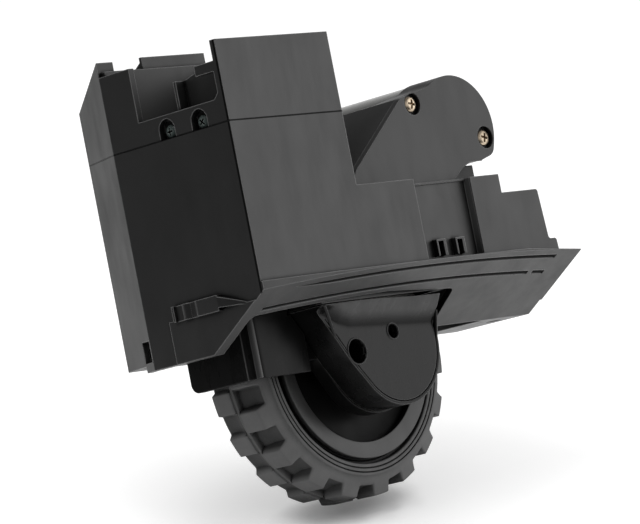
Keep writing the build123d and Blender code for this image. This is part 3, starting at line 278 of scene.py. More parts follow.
def rubber_group():
    """Colour, roughness and height of moulded rubber with a dry bloom. More bloom at the edges is a painted
    highlight; the crevice mask is painted shade, black and without gloss.
    """
    tree, given, out = new_group("Moulded rubber", {
        "Colour": (0.05, 0.05, 0.05, 1), "Bloom Colour": (0.12, 0.12, 0.12, 1), "Bloom": 0.5,
        "Edge Mask": 0.0, "Crevice Mask": 0.0, "Roughness": 0.7,
    }, ("Color", "Roughness", "Height", "Matt"))
    place = object_place(tree)
    cloud = noise(tree, place, 110.0, 4.0, 0.6)
    grit = noise(tree, place, 2600.0, 2.0, 0.6)
    bloom = calculate(tree, "MULTIPLY", spread(tree, cloud, 0.35, 0.7, 0.2, 1.0), given["Bloom"])
    # Painted highlight: more bloom at the edges
    bloom = calculate(tree, "ADD", bloom, calculate(tree, "MULTIPLY", given["Edge Mask"], 0.5), clamp=True)
    colour = mixed(tree, bloom, given["Colour"], given["Bloom Colour"])
    hidden = calculate(tree, "MULTIPLY", given["Crevice Mask"], 0.92)
    rough = calculate(tree, "ADD", given["Roughness"], spread(tree, grit, 0.3, 0.7, -0.06, 0.06))
    feed(tree, out["Color"], mixed(tree, hidden, colour, shade_and_seam_black))
    feed(tree, out["Roughness"], rough)
    feed(tree, out["Height"], grit)
    feed(tree, out["Matt"], hidden)


def tread_depth_group():
    """How deep a place lies between the tread's lugs, where the tyre paints shade. Slope is how fast the
    tread widens inwards.
    """
    tree, given, out = new_group("Tread depth", {
        "Axle": (0.0, 0.0, 0.0), "Top Radius": 36.5 * mm, "Root Radius": 34.4 * mm, "Half Width": 7 * mm,
        "Slope": 0.385,
    }, ("Mask",))
    away = axes_from(tree, given["Axle"])
    square = calculate(tree, "ADD", calculate(tree, "POWER", away["X"], 2.0),
                       calculate(tree, "POWER", away["Z"], 2.0))
    radius = calculate(tree, "SQRT", square)
    deep = spread(tree, radius, given["Top Radius"], given["Root Radius"], 0.0, 1.0)
    below = calculate(tree, "SUBTRACT", given["Top Radius"], radius)
    edge = calculate(tree, "MULTIPLY_ADD", below, given["Slope"], given["Half Width"])
    side = calculate(tree, "SUBTRACT", calculate(tree, "ABSOLUTE", away["Y"]), edge)
    inside = spread(tree, side, -0.5 * mm, -0.2 * mm, 1.0, 0.0)
    feed(tree, out["Mask"], calculate(tree, "MULTIPLY", deep, inside))


# Materials

def linear(level):
    """A grey, or a colour, as written on a screen (0 to 255), made linear."""
    levels = level if isinstance(level, tuple) else (level,) * 3
    shades = [value / 255 for value in levels]
    return tuple(s / 12.92 if s <= 0.04045 else ((s + 0.055) / 1.055) ** 2.4 for s in shades) + (1.0,)


def new_material(name):
    """A node material with its shader."""
    made = bpy.data.materials.new(name)
    made.use_nodes = True
    materials[name] = made
    return made.node_tree, made.node_tree.nodes["Principled BSDF"]


def placed_group(tree, name, **values):
    """A shader group placed in a material with its own values."""
    made = tree.nodes.new("ShaderNodeGroup")
    made.node_tree = groups[name]
    for socket, value in values.items():
        made.inputs[socket.replace("_", " ")].default_value = value
    return made


def surface(tree, shader, group, height, edges):
    """Feeds a group's colour, roughness and height, in millimetres, and its rounded edges to the shader."""
    bump = node(tree, "ShaderNodeBump", {
        "Strength": 1.0, "Distance": height * mm, "Height": group.outputs["Height"],
        "Normal": edges.outputs["Normal"]})
    feed(tree, shader.inputs["Base Color"], group.outputs["Color"])
    feed(tree, shader.inputs["Roughness"], group.outputs["Roughness"])
    feed(tree, shader.inputs["Normal"], bump.outputs["Normal"])


def plastic(name, colour, wear_and_highlight, grain=0.3, depth=0.003, rough=0.36, uneven=0.05, edge=0.4, dust=0.02,
            specular=0.5, coat=0.0, subsurface=0.0, crevice=1.2, seam=None, low=None, sheen=False):
    """A moulded plastic. Grain, depth, edge and crevice are in millimetres. Its second colour is that of its
    edges: wear, and a painted highlight. Seam is the height of a parting line across it, low the height below
    which shade is painted. With sheen it takes its own painted shade (hollow) and painted sheen from the
    piece's attributes."""
    tree, shader = new_material(name)
    edges = placed_group(tree, "Rounded edges", Radius=edge * mm)
    group = placed_group(tree, "Moulded plastic", Colour=linear(colour), Worn_Colour=linear(wear_and_highlight),
                         Grain_Size=grain, Unevenness=uneven, Roughness=rough, Dust=dust)
    crevices = placed_group(tree, "Crevices", Reach=crevice * mm)
    wear_and_highlight_edge = calculate(tree, "MULTIPLY", edges.outputs["Mask"], crevices.outputs["Open"])
    # Painted shade: crevices and hollows go black and lose their gloss; the seam's dark line, the painted
    # corner line, the painted low shade and the cover's painted hollow join them below
    hidden = crevices.outputs["Mask"]
    if seam is not None:
        line = placed_group(tree, "Seam line", Level=seam, Width=0.24 * mm).outputs["Mask"]
        upright = placed_group(tree, "Corner line", Corner=tuple(corner)).outputs["Mask"]
        wear_and_highlight_edge = calculate(tree, "MULTIPLY", wear_and_highlight_edge, calculate(tree, "SUBTRACT", 1.0, line))
        hidden = calculate(tree, "MAXIMUM", calculate(tree, "MAXIMUM", hidden, line), upright)
    if low is not None:
        hidden = calculate(tree, "MAXIMUM", hidden,
                           placed_group(tree, "Low shade", Level=low).outputs["Mask"])
    if sheen:
        # The cover's painted shade under the flare, and its painted sheen on the flare
        hollow = node(tree, "ShaderNodeAttribute", attribute_name="hollow").outputs["Fac"]
        bright = node(tree, "ShaderNodeAttribute", attribute_name="sheen").outputs["Fac"]
        hidden = calculate(tree, "MAXIMUM", hidden, hollow)
        wear_and_highlight_edge = calculate(tree, "MAXIMUM", wear_and_highlight_edge, bright)
    feed(tree, group.inputs["Edge Mask"], wear_and_highlight_edge)
    feed(tree, group.inputs["Crevice Mask"], hidden)
    feed(tree, shader.inputs["Metallic"], group.outputs["Matt"])
    surface(tree, shader, group, depth, edges)
    shader.inputs["Specular IOR Level"].default_value = specular
    shader.inputs["Coat Weight"].default_value = coat
    shader.inputs["Coat Roughness"].default_value = 0.2
    if subsurface:
        shader.inputs["Subsurface Weight"].default_value = subsurface
        shader.inputs["Subsurface Radius"].default_value = (0.002, 0.002, 0.002)
        shader.inputs["Subsurface Scale"].default_value = 0.5


def metal(name, colour, stain_colour, stain=0.3, lines=0.15, depth=0.002, rough=0.3):
    """A turned or drawn metal; lines and depth are in millimetres."""
    tree, shader = new_material(name)
    edges = placed_group(tree, "Rounded edges", Radius=0.12 * mm)
    group = placed_group(tree, "Turned metal", Colour=linear(colour), Stain_Colour=linear(stain_colour),
                         Stain=stain, Line_Size=lines, Roughness=rough)
    surface(tree, shader, group, depth, edges)
    shader.inputs["Metallic"].default_value = 1.0


def rubber(name, colour, bloom_colour, bloom=0.5, depth=0.006, rough=0.72, between=0.55):
    """A moulded rubber; between is how dark the painted shade gets between the tread's lugs."""
    tree, shader = new_material(name)
    edges = placed_group(tree, "Rounded edges", Radius=0.3 * mm)
    group = placed_group(tree, "Moulded rubber", Colour=linear(colour), Bloom_Colour=linear(bloom_colour),
                         Bloom=bloom, Roughness=rough)
    crevices = placed_group(tree, "Crevices", Reach=1.6 * mm)
    pockets = placed_group(tree, "Tread depth", Axle=tuple(tyre_middle), Top_Radius=36.2 * mm,
                           Root_Radius=34.9 * mm, Half_Width=6.95 * mm)
    # Painted shade in the tread's pockets
    shaded_pockets = calculate(tree, "MULTIPLY", pockets.outputs["Mask"], between)
    feed(tree, group.inputs["Crevice Mask"],
         calculate(tree, "MAXIMUM", crevices.outputs["Mask"], shaded_pockets))
    feed(tree, group.inputs["Edge Mask"],
         calculate(tree, "MULTIPLY", edges.outputs["Mask"], crevices.outputs["Open"]))
    feed(tree, shader.inputs["Metallic"], group.outputs["Matt"])
    surface(tree, shader, group, depth, edges)
    shader.inputs["Specular IOR Level"].default_value = 0.35


class ModuleFinish(bpy.types.PropertyGroup):
    """Colours and gloss of the module's finishes, as grey levels on a screen."""
    housing_level: bpy.props.IntProperty(
        name="Housing", description="Grey level of the housing's plastic", default=34, min=0, max=255)
    arm_level: bpy.props.IntProperty(
        name="Arm", description="Grey level of the swing arm's plastic", default=30, min=0, max=255)
    tyre_level: bpy.props.IntProperty(
        name="Tyre", description="Grey level of the tyre's rubber", default=94, min=0, max=255)
    ring_level: bpy.props.IntProperty(
        name="Trim ring", description="Grey level of the wheel's pale ring", default=42, min=0, max=255)
    housing_roughness: bpy.props.FloatProperty(
        name="Housing roughness", description="Roughness of the housing's surface", default=0.42, min=0,
        max=1, subtype="FACTOR")
    edge_radius: bpy.props.FloatProperty(
        name="Edge radius", description="How round the housing's edges look", default=0.4 * mm, min=0,
        unit="LENGTH")


def make_groups():
    """Builds the shader groups."""
    rounded_edges_group()
    crevice_group()
    seam_group()
    corner_line_group()
    low_shade_group()
    moulded_group()
    turned_group()
    tread_depth_group()
    rubber_group()


def make_finishes(finish):
    """Builds every material."""
    house, arm, ring = finish.housing_level, finish.arm_level, finish.ring_level
    plastic("housing_plastic", house, house + 110, depth=0.004, rough=finish.housing_roughness,
            edge=finish.edge_radius / mm, seam=corner.z)
    plastic("arm_plastic", arm, arm + 90, specular=0.42)
    # The case is painted darker towards the bottom: painted shade
    plastic("case_plastic", arm + 10, arm + 30, specular=0.22, low=corner.z - 46 * mm)
    # Dark matt strips for the skirt's grooves: painted shade
    plastic("seal_rubber", 22, 40, depth=0.004, rough=0.8, edge=0.2, dust=0.0, specular=0.06, crevice=0.3)
    # A lighter copy of the black plastic for strips, beads and a lip: painted highlight
    plastic("trim_plastic", 66, 130, edge=0.2, dust=0.0, specular=0.4, crevice=0.2)
    plastic("fender_plastic", arm - 12, arm + 15, rough=0.3, specular=0.12)
    plastic("cover_plastic", 16, 120, depth=0.002, rough=0.26, specular=0.2, sheen=True)
    plastic("hub_plastic", 14, 70, grain=0.4, depth=0.004, rough=0.45, uneven=0.08, edge=0.3, dust=0.03,
            specular=0.08)
    plastic("ring_plastic", ring, ring + 40, rough=0.4, edge=0.15, dust=0.03)
    plastic("switch_plastic", 40, 80, grain=0.2, depth=0.002, rough=0.35, edge=0.15, dust=0.0)
    plastic("connector_plastic", (214, 208, 190), (235, 232, 220), depth=0.002, rough=0.4, uneven=0.03,
            edge=0.1, dust=0.0, subsurface=0.2)
    plastic("gear_plastic", (226, 226, 220), (240, 240, 236), depth=0.002, rough=0.35, uneven=0.02,
            edge=0.12, dust=0.0, subsurface=0.3)
    plastic("cap_plastic", 52, 90, grain=0.2, depth=0.002, rough=0.3, edge=0.2, dust=0.0)
    plastic("board_green", (38, 92, 58), (90, 130, 90), grain=0.2, depth=0.001, rough=0.3, edge=0.1,
            dust=0.0, coat=0.4)
    plastic("black_screw", (70, 80, 78), (176, 186, 182), grain=0.2, depth=0.002, rough=0.3, edge=0.2,
            dust=0.0, crevice=0.5)
    rubber("tyre_rubber", finish.tyre_level, finish.tyre_level + 24)
    metal("nickel_steel", (194, 178, 156), (84, 66, 50), stain=0.5, lines=0.2, rough=0.24)
    metal("dark_steel", (70, 78, 80), (30, 34, 36), lines=0.2)
    metal("plain_steel", (176, 176, 174), (110, 104, 96), stain=0.25, rough=0.28)
    metal("drawn_steel", (206, 206, 204), (150, 148, 142), stain=0.15, lines=0.4, rough=0.16)
    metal("spring_steel", (150, 148, 144), (92, 84, 74))
    metal("brass", (206, 170, 96), (128, 98, 52), rough=0.25)
    metal("magnet_grey", (92, 92, 96), (50, 48, 48), stain=0.4, lines=0.3, depth=0.004, rough=0.5)
    metal("core_iron", (120, 118, 116), (70, 62, 54), stain=0.4, lines=0.5, depth=0.01, rough=0.45)


# The solids that have each finish
finished_nodes = {
    "housing_plastic": ("lower_housing", "upper_housing"),
    "case_plastic": ("gearbox_case",),
    "arm_plastic": ("gearbox_cover",),
    "cover_plastic": ("final_drive_cover",),
    "fender_plastic": ("fender",),
    "connector_plastic": ("wiring_connector",),
    "switch_plastic": ("drop_switch_body",),
    "gear_plastic": ("first_gear", "second_gear", "third_gear", "final_gear"),
    "hub_plastic": ("wheel_hub",),
    "ring_plastic": ("rim_ring",),
    "tyre_rubber": ("tyre",),
    "cap_plastic": ("motor_end_cap",),
    "board_green": ("encoder_board",),
    "brass": ("connector_pins", "pivot_bushes", "axle_bushes", "motor_pinion"),
    "plain_steel": ("pivot_pin", "switch_lever", "gear_pins", "wheel_axle", "motor_shaft"),
    "spring_steel": ("suspension_spring",),
    "drawn_steel": ("motor_can",),
    "magnet_grey": ("motor_magnets", "encoder_magnet"),
    "core_iron": ("motor_armature",),
    "nickel_steel": ("cover_screws", "wheel_screw"),
    "black_screw": ("housing_screws",),
    "dark_steel": ("fender_screws", "drive_cover_screw", "motor_screws", "switch_screws"),
}


class MODULE_OT_finish_nodes(bpy.types.Operator):
    """Builds the materials and gives every solid its own"""
    bl_idname = "module.finish_nodes"
    bl_label = "Finish the solids"

    def execute(self, context):
        make_groups()
        make_finishes(context.scene.module_finish)
        for finish, names in finished_nodes.items():
            for name in names:
                mesh = frame["nodes"][name].data
                mesh.materials.clear()
                mesh.materials.append(materials[finish])
        return {"FINISHED"}


# Mesh and Geometry Nodes helpers

# Distances, in metres, under which places count as one
same_place = 1e-6
same_vertex = 2e-6


def add_object(name, data):
    """An object in the scene for a mesh, a curve, a lamp or a camera."""
    made = bpy.data.objects.new(name, data)
    bpy.context.collection.objects.link(made)
    return made


def evaluated_mesh(piece):
    """A plain mesh of a piece with its modifiers run."""
    graph = bpy.context.evaluated_depsgraph_get()
    return bpy.data.meshes.new_from_object(piece.evaluated_get(graph), depsgraph=graph)


def plain_mesh(piece):
    """Turns a piece and its modifiers into a plain mesh."""
    mesh = evaluated_mesh(piece)
    piece.modifiers.clear()
    piece.data = mesh
    mesh.name = piece.name


def settle(piece, body, finish, slot, *nodes):
    """Gives a finished piece its material and body, and hides what it stands for. Its slot is not used."""
    piece.data.materials.clear()
    piece.data.materials.append(materials[finish])
    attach(piece, body)
    if nodes:
        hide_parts(*nodes)


def drop(*objects):
    """Removes helper objects that aren't part of the module."""
    for helper in objects:
        bpy.data.objects.remove(helper)


def shaded(mesh, angle=35.0):
    """Smooth shading that breaks at edges sharper than an angle."""
    mesh.shade_smooth()
    mesh.set_sharp_from_angle(angle=math.radians(angle))


def bevelled(piece, width, angle=30.0):
    """Rounds a piece's sharp edges, by a width in millimetres, and keeps the result."""
    bevel = piece.modifiers.new("bevel", "BEVEL")
    bevel.width = width * mm
    bevel.segments = 2
    bevel.limit_method = "ANGLE"
    bevel.angle_limit = math.radians(angle)
    bevel.use_clamp_overlap = True
    bevel.miter_outer = "MITER_ARC"
    bevel.harden_normals = True
    plain_mesh(piece)


def combine(piece, operation, *others):
    """Joins a piece with others, or cuts them out of it or keeps what they share, and removes them."""
    for other in others:
        made = piece.modifiers.new("combine", "BOOLEAN")
        made.operation = operation
        made.solver = "EXACT"
        made.object = other
    plain_mesh(piece)
    drop(*others)


def rounded(profile, radius, steps=3):
    """A closed outline in millimetres with its corners rounded; a point may carry its own radius."""
    most = 0.48
    points = [point[:2] for point in profile]
    radii = [point[2] if len(point) > 2 else radius for point in profile]
    outline = []
    for index, (x, y) in enumerate(points):
        place = Vector((x, y))
        before = Vector(points[index - 1]) - place
        after = Vector(points[(index + 1) % len(points)]) - place
        turn = math.pi - before.angle(after, math.pi)
        reach = min(radii[index] * math.tan(turn / 2), before.length * most, after.length * most)
        if reach < 1e-4:
            outline.append((x, y))
            continue
        start = place + before.normalized() * reach
        end = place + after.normalized() * reach
        for step in range(steps + 1):
            part = step / steps
            outline.append(tuple(start * (1 - part) ** 2 + place * 2 * part * (1 - part) + end * part ** 2))
    return outline


def finished_mesh(name, shape, place=Matrix.Identity(4), angle=35.0):
    """A mesh from a bmesh, with outward faces and smooth shading, moved to its place."""
    bmesh.ops.recalc_face_normals(shape, faces=shape.faces)
    mesh = bpy.data.meshes.new(name)
    shape.to_mesh(mesh)
    shape.free()
    mesh.transform(place)
    shaded(mesh, angle)
    return mesh


def band(shape, first, second):
    """A closed band of faces between two loops of vertices."""
    for index in range(len(first)):
        after = (index + 1) % len(first)
        shape.faces.new((first[index], first[after], second[after], second[index]))


def prism(name, outline, rise):
    """A piece from a closed outline of places, raised by a vector in millimetres."""
    shape = bmesh.new()
    bottom = [shape.verts.new(place) for place in outline]
    top = [shape.verts.new(place + Vector(rise) * mm) for place in outline]
    shape.faces.new(bottom)
    shape.faces.new(list(reversed(top)))
    for index in range(len(outline)):
        after = (index + 1) % len(outline)
        shape.faces.new((bottom[index], top[index], top[after], bottom[after]))
    return add_object(name, finished_mesh(name, shape))


def outline_block(name, outline, front, back):
    """A piece from a closed outline in the plane of X and Z, raised along Y."""
    return prism(name, [at(x, front, z) for x, z in outline], (0, back - front, 0))


def block(name, low, high):
    """A block between two places in millimetres off the housing's corner."""
    corners = ((low[0], low[1]), (high[0], low[1]), (high[0], high[1]), (low[0], high[1]))
    return prism(name, [at(x, y, low[2]) for x, y in corners], (0, 0, high[2] - low[2]))


def lathe(name, profile, centre, steps=128):
    """A piece from a closed outline of (radius, y) in millimetres, turned round an axis along Y."""
    shape = bmesh.new()
    angles = [math.tau * step / steps for step in range(steps)]
    rings = [[shape.verts.new((radius * mm * math.cos(angle), y * mm, radius * mm * math.sin(angle)))
              for angle in angles] for radius, y in profile]
    for index, (radius, _) in enumerate(profile):
        after = (index + 1) % len(profile)
        if max(radius, profile[after][0]) > 0.0:
            band(shape, rings[index], rings[after])
    bmesh.ops.remove_doubles(shape, verts=shape.verts, dist=1e-7)
    return add_object(name, finished_mesh(name, shape, Matrix.Translation(centre)))


def round_bar(name, places, radius):
    """A bar of round section along places in millimetres off the housing's corner."""
    curve = bpy.data.curves.new(name, "CURVE")
    curve.dimensions = "3D"
    curve.bevel_depth = radius * mm
    curve.bevel_resolution = 3
    curve.use_fill_caps = True
    line = curve.splines.new("POLY")
    line.points.add(len(places) - 1)
    for point, place in zip(line.points, places):
        point.co = (*at(*place), 1.0)
    bar = add_object(name, curve)
    mesh = evaluated_mesh(bar)
    drop(bar)
    shaded(mesh, 50.0)
    return add_object(name, mesh)


def geometry_tree(name, **kinds):
    """A geometry tree with a geometry, named inputs and a finish given to it: the tree, what is given,
    and a function that ends it in Realize Instances and Set Material."""
    tree = bpy.data.node_groups.new(name, "GeometryNodeTree")
    for socket, kind in {"Geometry": "Geometry", **kinds, "Finish": "Material"}.items():
        tree.interface.new_socket(socket.replace("_", " "), in_out="INPUT", socket_type="NodeSocket" + kind)
    tree.interface.new_socket("Geometry", in_out="OUTPUT", socket_type="NodeSocketGeometry")
    given = tree.nodes.new("NodeGroupInput").outputs
    out = tree.nodes.new("NodeGroupOutput").inputs

    def finish(geometry):
        real = node(tree, "GeometryNodeRealizeInstances", {"Geometry": geometry}).outputs["Geometry"]
        painted = node(tree, "GeometryNodeSetMaterial", {"Geometry": real, "Material": given["Finish"]})
        feed(tree, out["Geometry"], painted.outputs["Geometry"])
        return tree
    return tree, given, finish


def run_tree(piece, tree, **values):
    """Runs a geometry tree on a piece with its inputs set, and keeps the result as a plain mesh."""
    modifier = piece.modifiers.new(tree.name, "NODES")
    modifier.node_group = tree
    for item in tree.interface.items_tree:
        key = item.name.replace(" ", "_")
        if item.in_out == "INPUT" and key in values:
            modifier[item.identifier] = values[key]
    plain_mesh(piece)


def ring_tree():
    """Copies of a piece set evenly round an axis along Y, and welded to each other."""
    tree, given, finish = geometry_tree("Ring of copies", Count="Int", Phase="Float")
    points = node(tree, "GeometryNodeMeshLine", {"Offset": (0, 0, 0), "Count": given["Count"]})
    index = node(tree, "GeometryNodeInputIndex").outputs["Index"]
    share = calculate(tree, "DIVIDE", index, given["Count"])
    angle = calculate(tree, "MULTIPLY_ADD", share, math.tau, given["Phase"])
    turn = node(tree, "ShaderNodeCombineXYZ", {"Y": angle}).outputs["Vector"]
    spin = node(tree, "FunctionNodeEulerToRotation", {"Euler": turn}).outputs["Rotation"]
    copies = node(tree, "GeometryNodeInstanceOnPoints", {
        "Points": points.outputs["Mesh"], "Instance": given["Geometry"], "Rotation": spin})
    real = node(tree, "GeometryNodeRealizeInstances", {"Geometry": copies.outputs["Instances"]})
    weld = node(tree, "GeometryNodeMergeByDistance", {"Geometry": real.outputs["Geometry"],
                                                      "Distance": same_place})
    return finish(weld.outputs["Geometry"])


def seats_tree():
    """A copy of a piece on every point, each turned a little about its own axis by a fixed seed."""
    tree, given, finish = geometry_tree("Copies on seats", Piece="Object", Turn="Vector", Twist="Float",
                                        Seed="Int")
    source = node(tree, "GeometryNodeObjectInfo", {"Object": given["Piece"]})
    chance = node(tree, "FunctionNodeRandomValue", {3: given["Twist"], "Seed": given["Seed"]},
                  data_type="FLOAT")
    own = node(tree, "ShaderNodeCombineXYZ", {"Y": chance.outputs[1]}).outputs["Vector"]
    turns = [node(tree, "FunctionNodeEulerToRotation", {"Euler": turn}).outputs["Rotation"]
             for turn in (given["Turn"], own)]
    spin = node(tree, "FunctionNodeRotateRotation", {"Rotation": turns[0], "Rotate By": turns[1]},
                rotation_space="LOCAL")
    copies = node(tree, "GeometryNodeInstanceOnPoints", {
        "Points": given["Geometry"], "Instance": source.outputs["Geometry"],
        "Rotation": spin.outputs["Rotation"]})
    return finish(copies.outputs["Instances"])


def spring_tree():
    """A coil of round wire along Y with a straight leg at each end."""
    tree, given, finish = geometry_tree("Coil spring", Turns="Float", Coil_Radius="Float",
                                        Wire_Radius="Float", Length="Float", Leg="Float")
    coil = node(tree, "GeometryNodeCurveSpiral", {
        "Resolution": 48, "Rotations": given["Turns"], "Start Radius": given["Coil Radius"],
        "End Radius": given["Coil Radius"], "Height": given["Length"]})
    lay = node(tree, "GeometryNodeTransform", {"Geometry": coil.outputs["Curve"],
                                               "Rotation": (-math.pi / 2, 0, 0)})
    joined = node(tree, "GeometryNodeJoinGeometry", {"Geometry": lay.outputs["Geometry"]})
    for share, sign in ((0.0, -1.0), (1.0, 1.0)):
        start = {"X": given["Coil Radius"], "Y": calculate(tree, "MULTIPLY", given["Length"], share)}
        reach = calculate(tree, "MULTIPLY", given["Leg"], sign)
        foot = node(tree, "ShaderNodeCombineXYZ", start)
        tip = node(tree, "ShaderNodeCombineXYZ", {**start, "Z": reach})
        leg = node(tree, "GeometryNodeCurvePrimitiveLine", {"Start": foot.outputs["Vector"],
                                                            "End": tip.outputs["Vector"]})
        feed(tree, joined.inputs["Geometry"], leg.outputs["Curve"])
    wire = node(tree, "GeometryNodeCurvePrimitiveCircle", {"Resolution": 12, "Radius": given["Wire Radius"]})
    tube = node(tree, "GeometryNodeCurveToMesh", {
        "Fill Caps": True, "Curve": joined.outputs["Geometry"], "Profile Curve": wire.outputs["Curve"]})
    return finish(tube.outputs["Mesh"])


trees = {}


def make_trees():
    """Builds the geometry trees."""
    trees["ring"] = ring_tree()
    trees["seats"] = seats_tree()
    trees["spring"] = spring_tree()


def islands(name):
    """The boxes, in metres, of a node's separate solids."""
    shape = bmesh.new()
    shape.from_mesh(frame["nodes"][name].data)
    bmesh.ops.remove_doubles(shape, verts=shape.verts, dist=same_place)
    left = set(shape.verts)
    boxes = []
    while left:
        group, edge = set(), [left.pop()]
        while edge:
            vertex = edge.pop()
            group.add(vertex)
            for link in vertex.link_edges:
                other = link.other_vert(vertex)
                if other in left:
                    left.remove(other)
                    edge.append(other)
        places = [vertex.co for vertex in group]
        low = Vector(min(place[axis] for place in places) for axis in range(3))
        high = Vector(max(place[axis] for place in places) for axis in range(3))
        boxes.append((low, high))
    shape.free()
    return sorted(boxes, key=lambda box: tuple(box[0]))


def whole_faces(source, target):
    """Writes a mesh into another with its doubles merged and its flat faces whole."""
    shape = bmesh.new()
    shape.from_mesh(source)
    bmesh.ops.remove_doubles(shape, verts=shape.verts, dist=same_vertex)
    bmesh.ops.dissolve_limit(shape, angle_limit=math.radians(1.0), verts=shape.verts, edges=shape.edges)
    shape.to_mesh(target)
    shape.free()


# Wheel

class ModuleWheel(bpy.types.PropertyGroup):
    """Sizes of the wheel's tread and of the trim on its face."""
    lug_count: bpy.props.IntProperty(
        name="Lugs", description="Lugs in each of the tread's two rows", default=19, min=3)
    tyre_radius: bpy.props.FloatProperty(
        name="Tyre radius", description="Radius over the lugs", default=36.5 * mm, unit="LENGTH")
    root_radius: bpy.props.FloatProperty(
        name="Root radius", description="Radius between the lugs", default=34.4 * mm, unit="LENGTH")
    gap_top: bpy.props.FloatProperty(
        name="Gap", description="Angle of a gap at the lugs' tops", default=math.radians(10.4),
        subtype="ANGLE")
    gap_root: bpy.props.FloatProperty(
        name="Gap root", description="Angle of a gap at its root", default=math.radians(7.6),
        subtype="ANGLE")
    phase: bpy.props.FloatProperty(
        name="Phase", description="Angle of the near row's first lug", default=math.radians(-7.6),
        subtype="ANGLE")
    rib_count: bpy.props.IntProperty(name="Ribs", description="Ribs behind the hub's web", default=6, min=1)


# Half of the tyre's section, from the bore to the middle of the tread, as (radius, y) in millimetres
tyre_section = (
    (27.4, -8.2), (28.1, -8.2), (28.15, -9.5), (28.4, -9.8), (29.1, -9.8), (29.15, -9.45), (29.4, -9.45),
    (29.45, -9.8), (30.2, -9.8), (30.25, -9.4), (30.5, -9.4), (30.55, -9.75), (31.2, -9.65), (31.3, -9.0),
    (31.6, -8.7), (32.4, -8.35), (33.5, -7.9), (34.4, -7.54), (35.6, -7.12), (36.35, -6.85), (36.5, -6.5),
    (36.5, -4.2), (36.5, -1.7), (36.5, -0.6), (36.0, -0.45), (36.0, 0.0))

# In millimetres: how much deeper the near row's pockets are, half the width of the rib between the rows,
# and how far from the middle the pockets are shallower, and by how much
near_pocket_depth = 0.9
rib_half_width = 0.59
shallow_half_width = 1.75
shallow_by = 0.8


def tread_radius(section_radius, y, angle, wheel):
    """Radius of the tyre's surface at a place and an angle from the near row's gap."""
    pitch = math.tau / wheel.lug_count
    from_gap = abs((angle + (pitch / 2 if y > 0 else 0) + pitch / 2) % pitch - pitch / 2)
    root = wheel.root_radius / mm
    floor = root - near_pocket_depth if y < 0 else root
    if abs(y) < rib_half_width or section_radius <= floor:
        return section_radius
    if abs(y) < shallow_half_width:
        floor += shallow_by
    half_root, half_top = wheel.gap_root / 2, wheel.gap_top / 2
    if from_gap > half_top - 1e-6:
        return section_radius
    if from_gap < half_root + 1e-6:
        return min(section_radius, floor)
    rise = (from_gap - half_root) / (half_top - half_root)
    return min(section_radius, floor + (section_radius - floor) * rise)


def tread_lines(wheel):
    """Angles at which one pitch of the tread changes, for both rows."""
    pitch = math.tau / wheel.lug_count
    lines = {0.0, pitch / 2, pitch}
    for centre in (0.0, pitch / 2, pitch):
        for half in (wheel.gap_root / 2, wheel.gap_top / 2, wheel.gap_root / 4):
            lines |= {centre - half, centre + half}
    return sorted(line for line in lines if -1e-9 <= line <= pitch + 1e-9)


def tread_pitch(wheel):
    """One pitch of the tyre, open at both ends, with its bore."""
    section = tyre_section + tuple((radius, -y) for radius, y in reversed(tyre_section[:-1]))
    shape = bmesh.new()
    columns = []
    for angle in tread_lines(wheel):
        shown = [(tread_radius(radius, y, angle, wheel) * mm, y * mm) for radius, y in section]
        columns.append([shape.verts.new((radius * math.cos(angle), y, radius * math.sin(angle)))
                        for radius, y in shown])
    for first, second in zip(columns, columns[1:]):
        band(shape, first, second)
    return finished_mesh("tyre_pitch", shape)


class MODULE_OT_make_tyre(bpy.types.Operator):
    """Makes the treaded tyre from one pitch of its two rows of lugs"""
    bl_idname = "module.make_tyre"
    bl_label = "Make the tyre"

    def execute(self, context):
        wheel = context.scene.module_wheel
        tyre = add_object("rubber_tyre", tread_pitch(wheel))
        gap = math.pi / wheel.lug_count
        run_tree(tyre, trees["ring"], Count=wheel.lug_count, Phase=-(wheel.phase + gap),
                 Finish=materials["tyre_rubber"])
        shape = bmesh.new()
        shape.from_mesh(tyre.data)
        bmesh.ops.recalc_face_normals(shape, faces=shape.faces)
        shape.to_mesh(tyre.data)
        shape.free()
        bevelled(tyre, 0.14, 32.0)
        for vertex in tyre.data.vertices:
            radius = math.hypot(vertex.co.x, vertex.co.z)
            shrink = min(1.0, wheel.tyre_radius / radius)
            vertex.co.x *= shrink
            vertex.co.z *= shrink
        tyre.data.transform(Matrix.Translation(tyre_middle))
        shaded(tyre.data, 40.0)
        settle(tyre, "drive_wheel", "tyre_rubber", "tyre_rubber", "tyre")
        return {"FINISHED"}


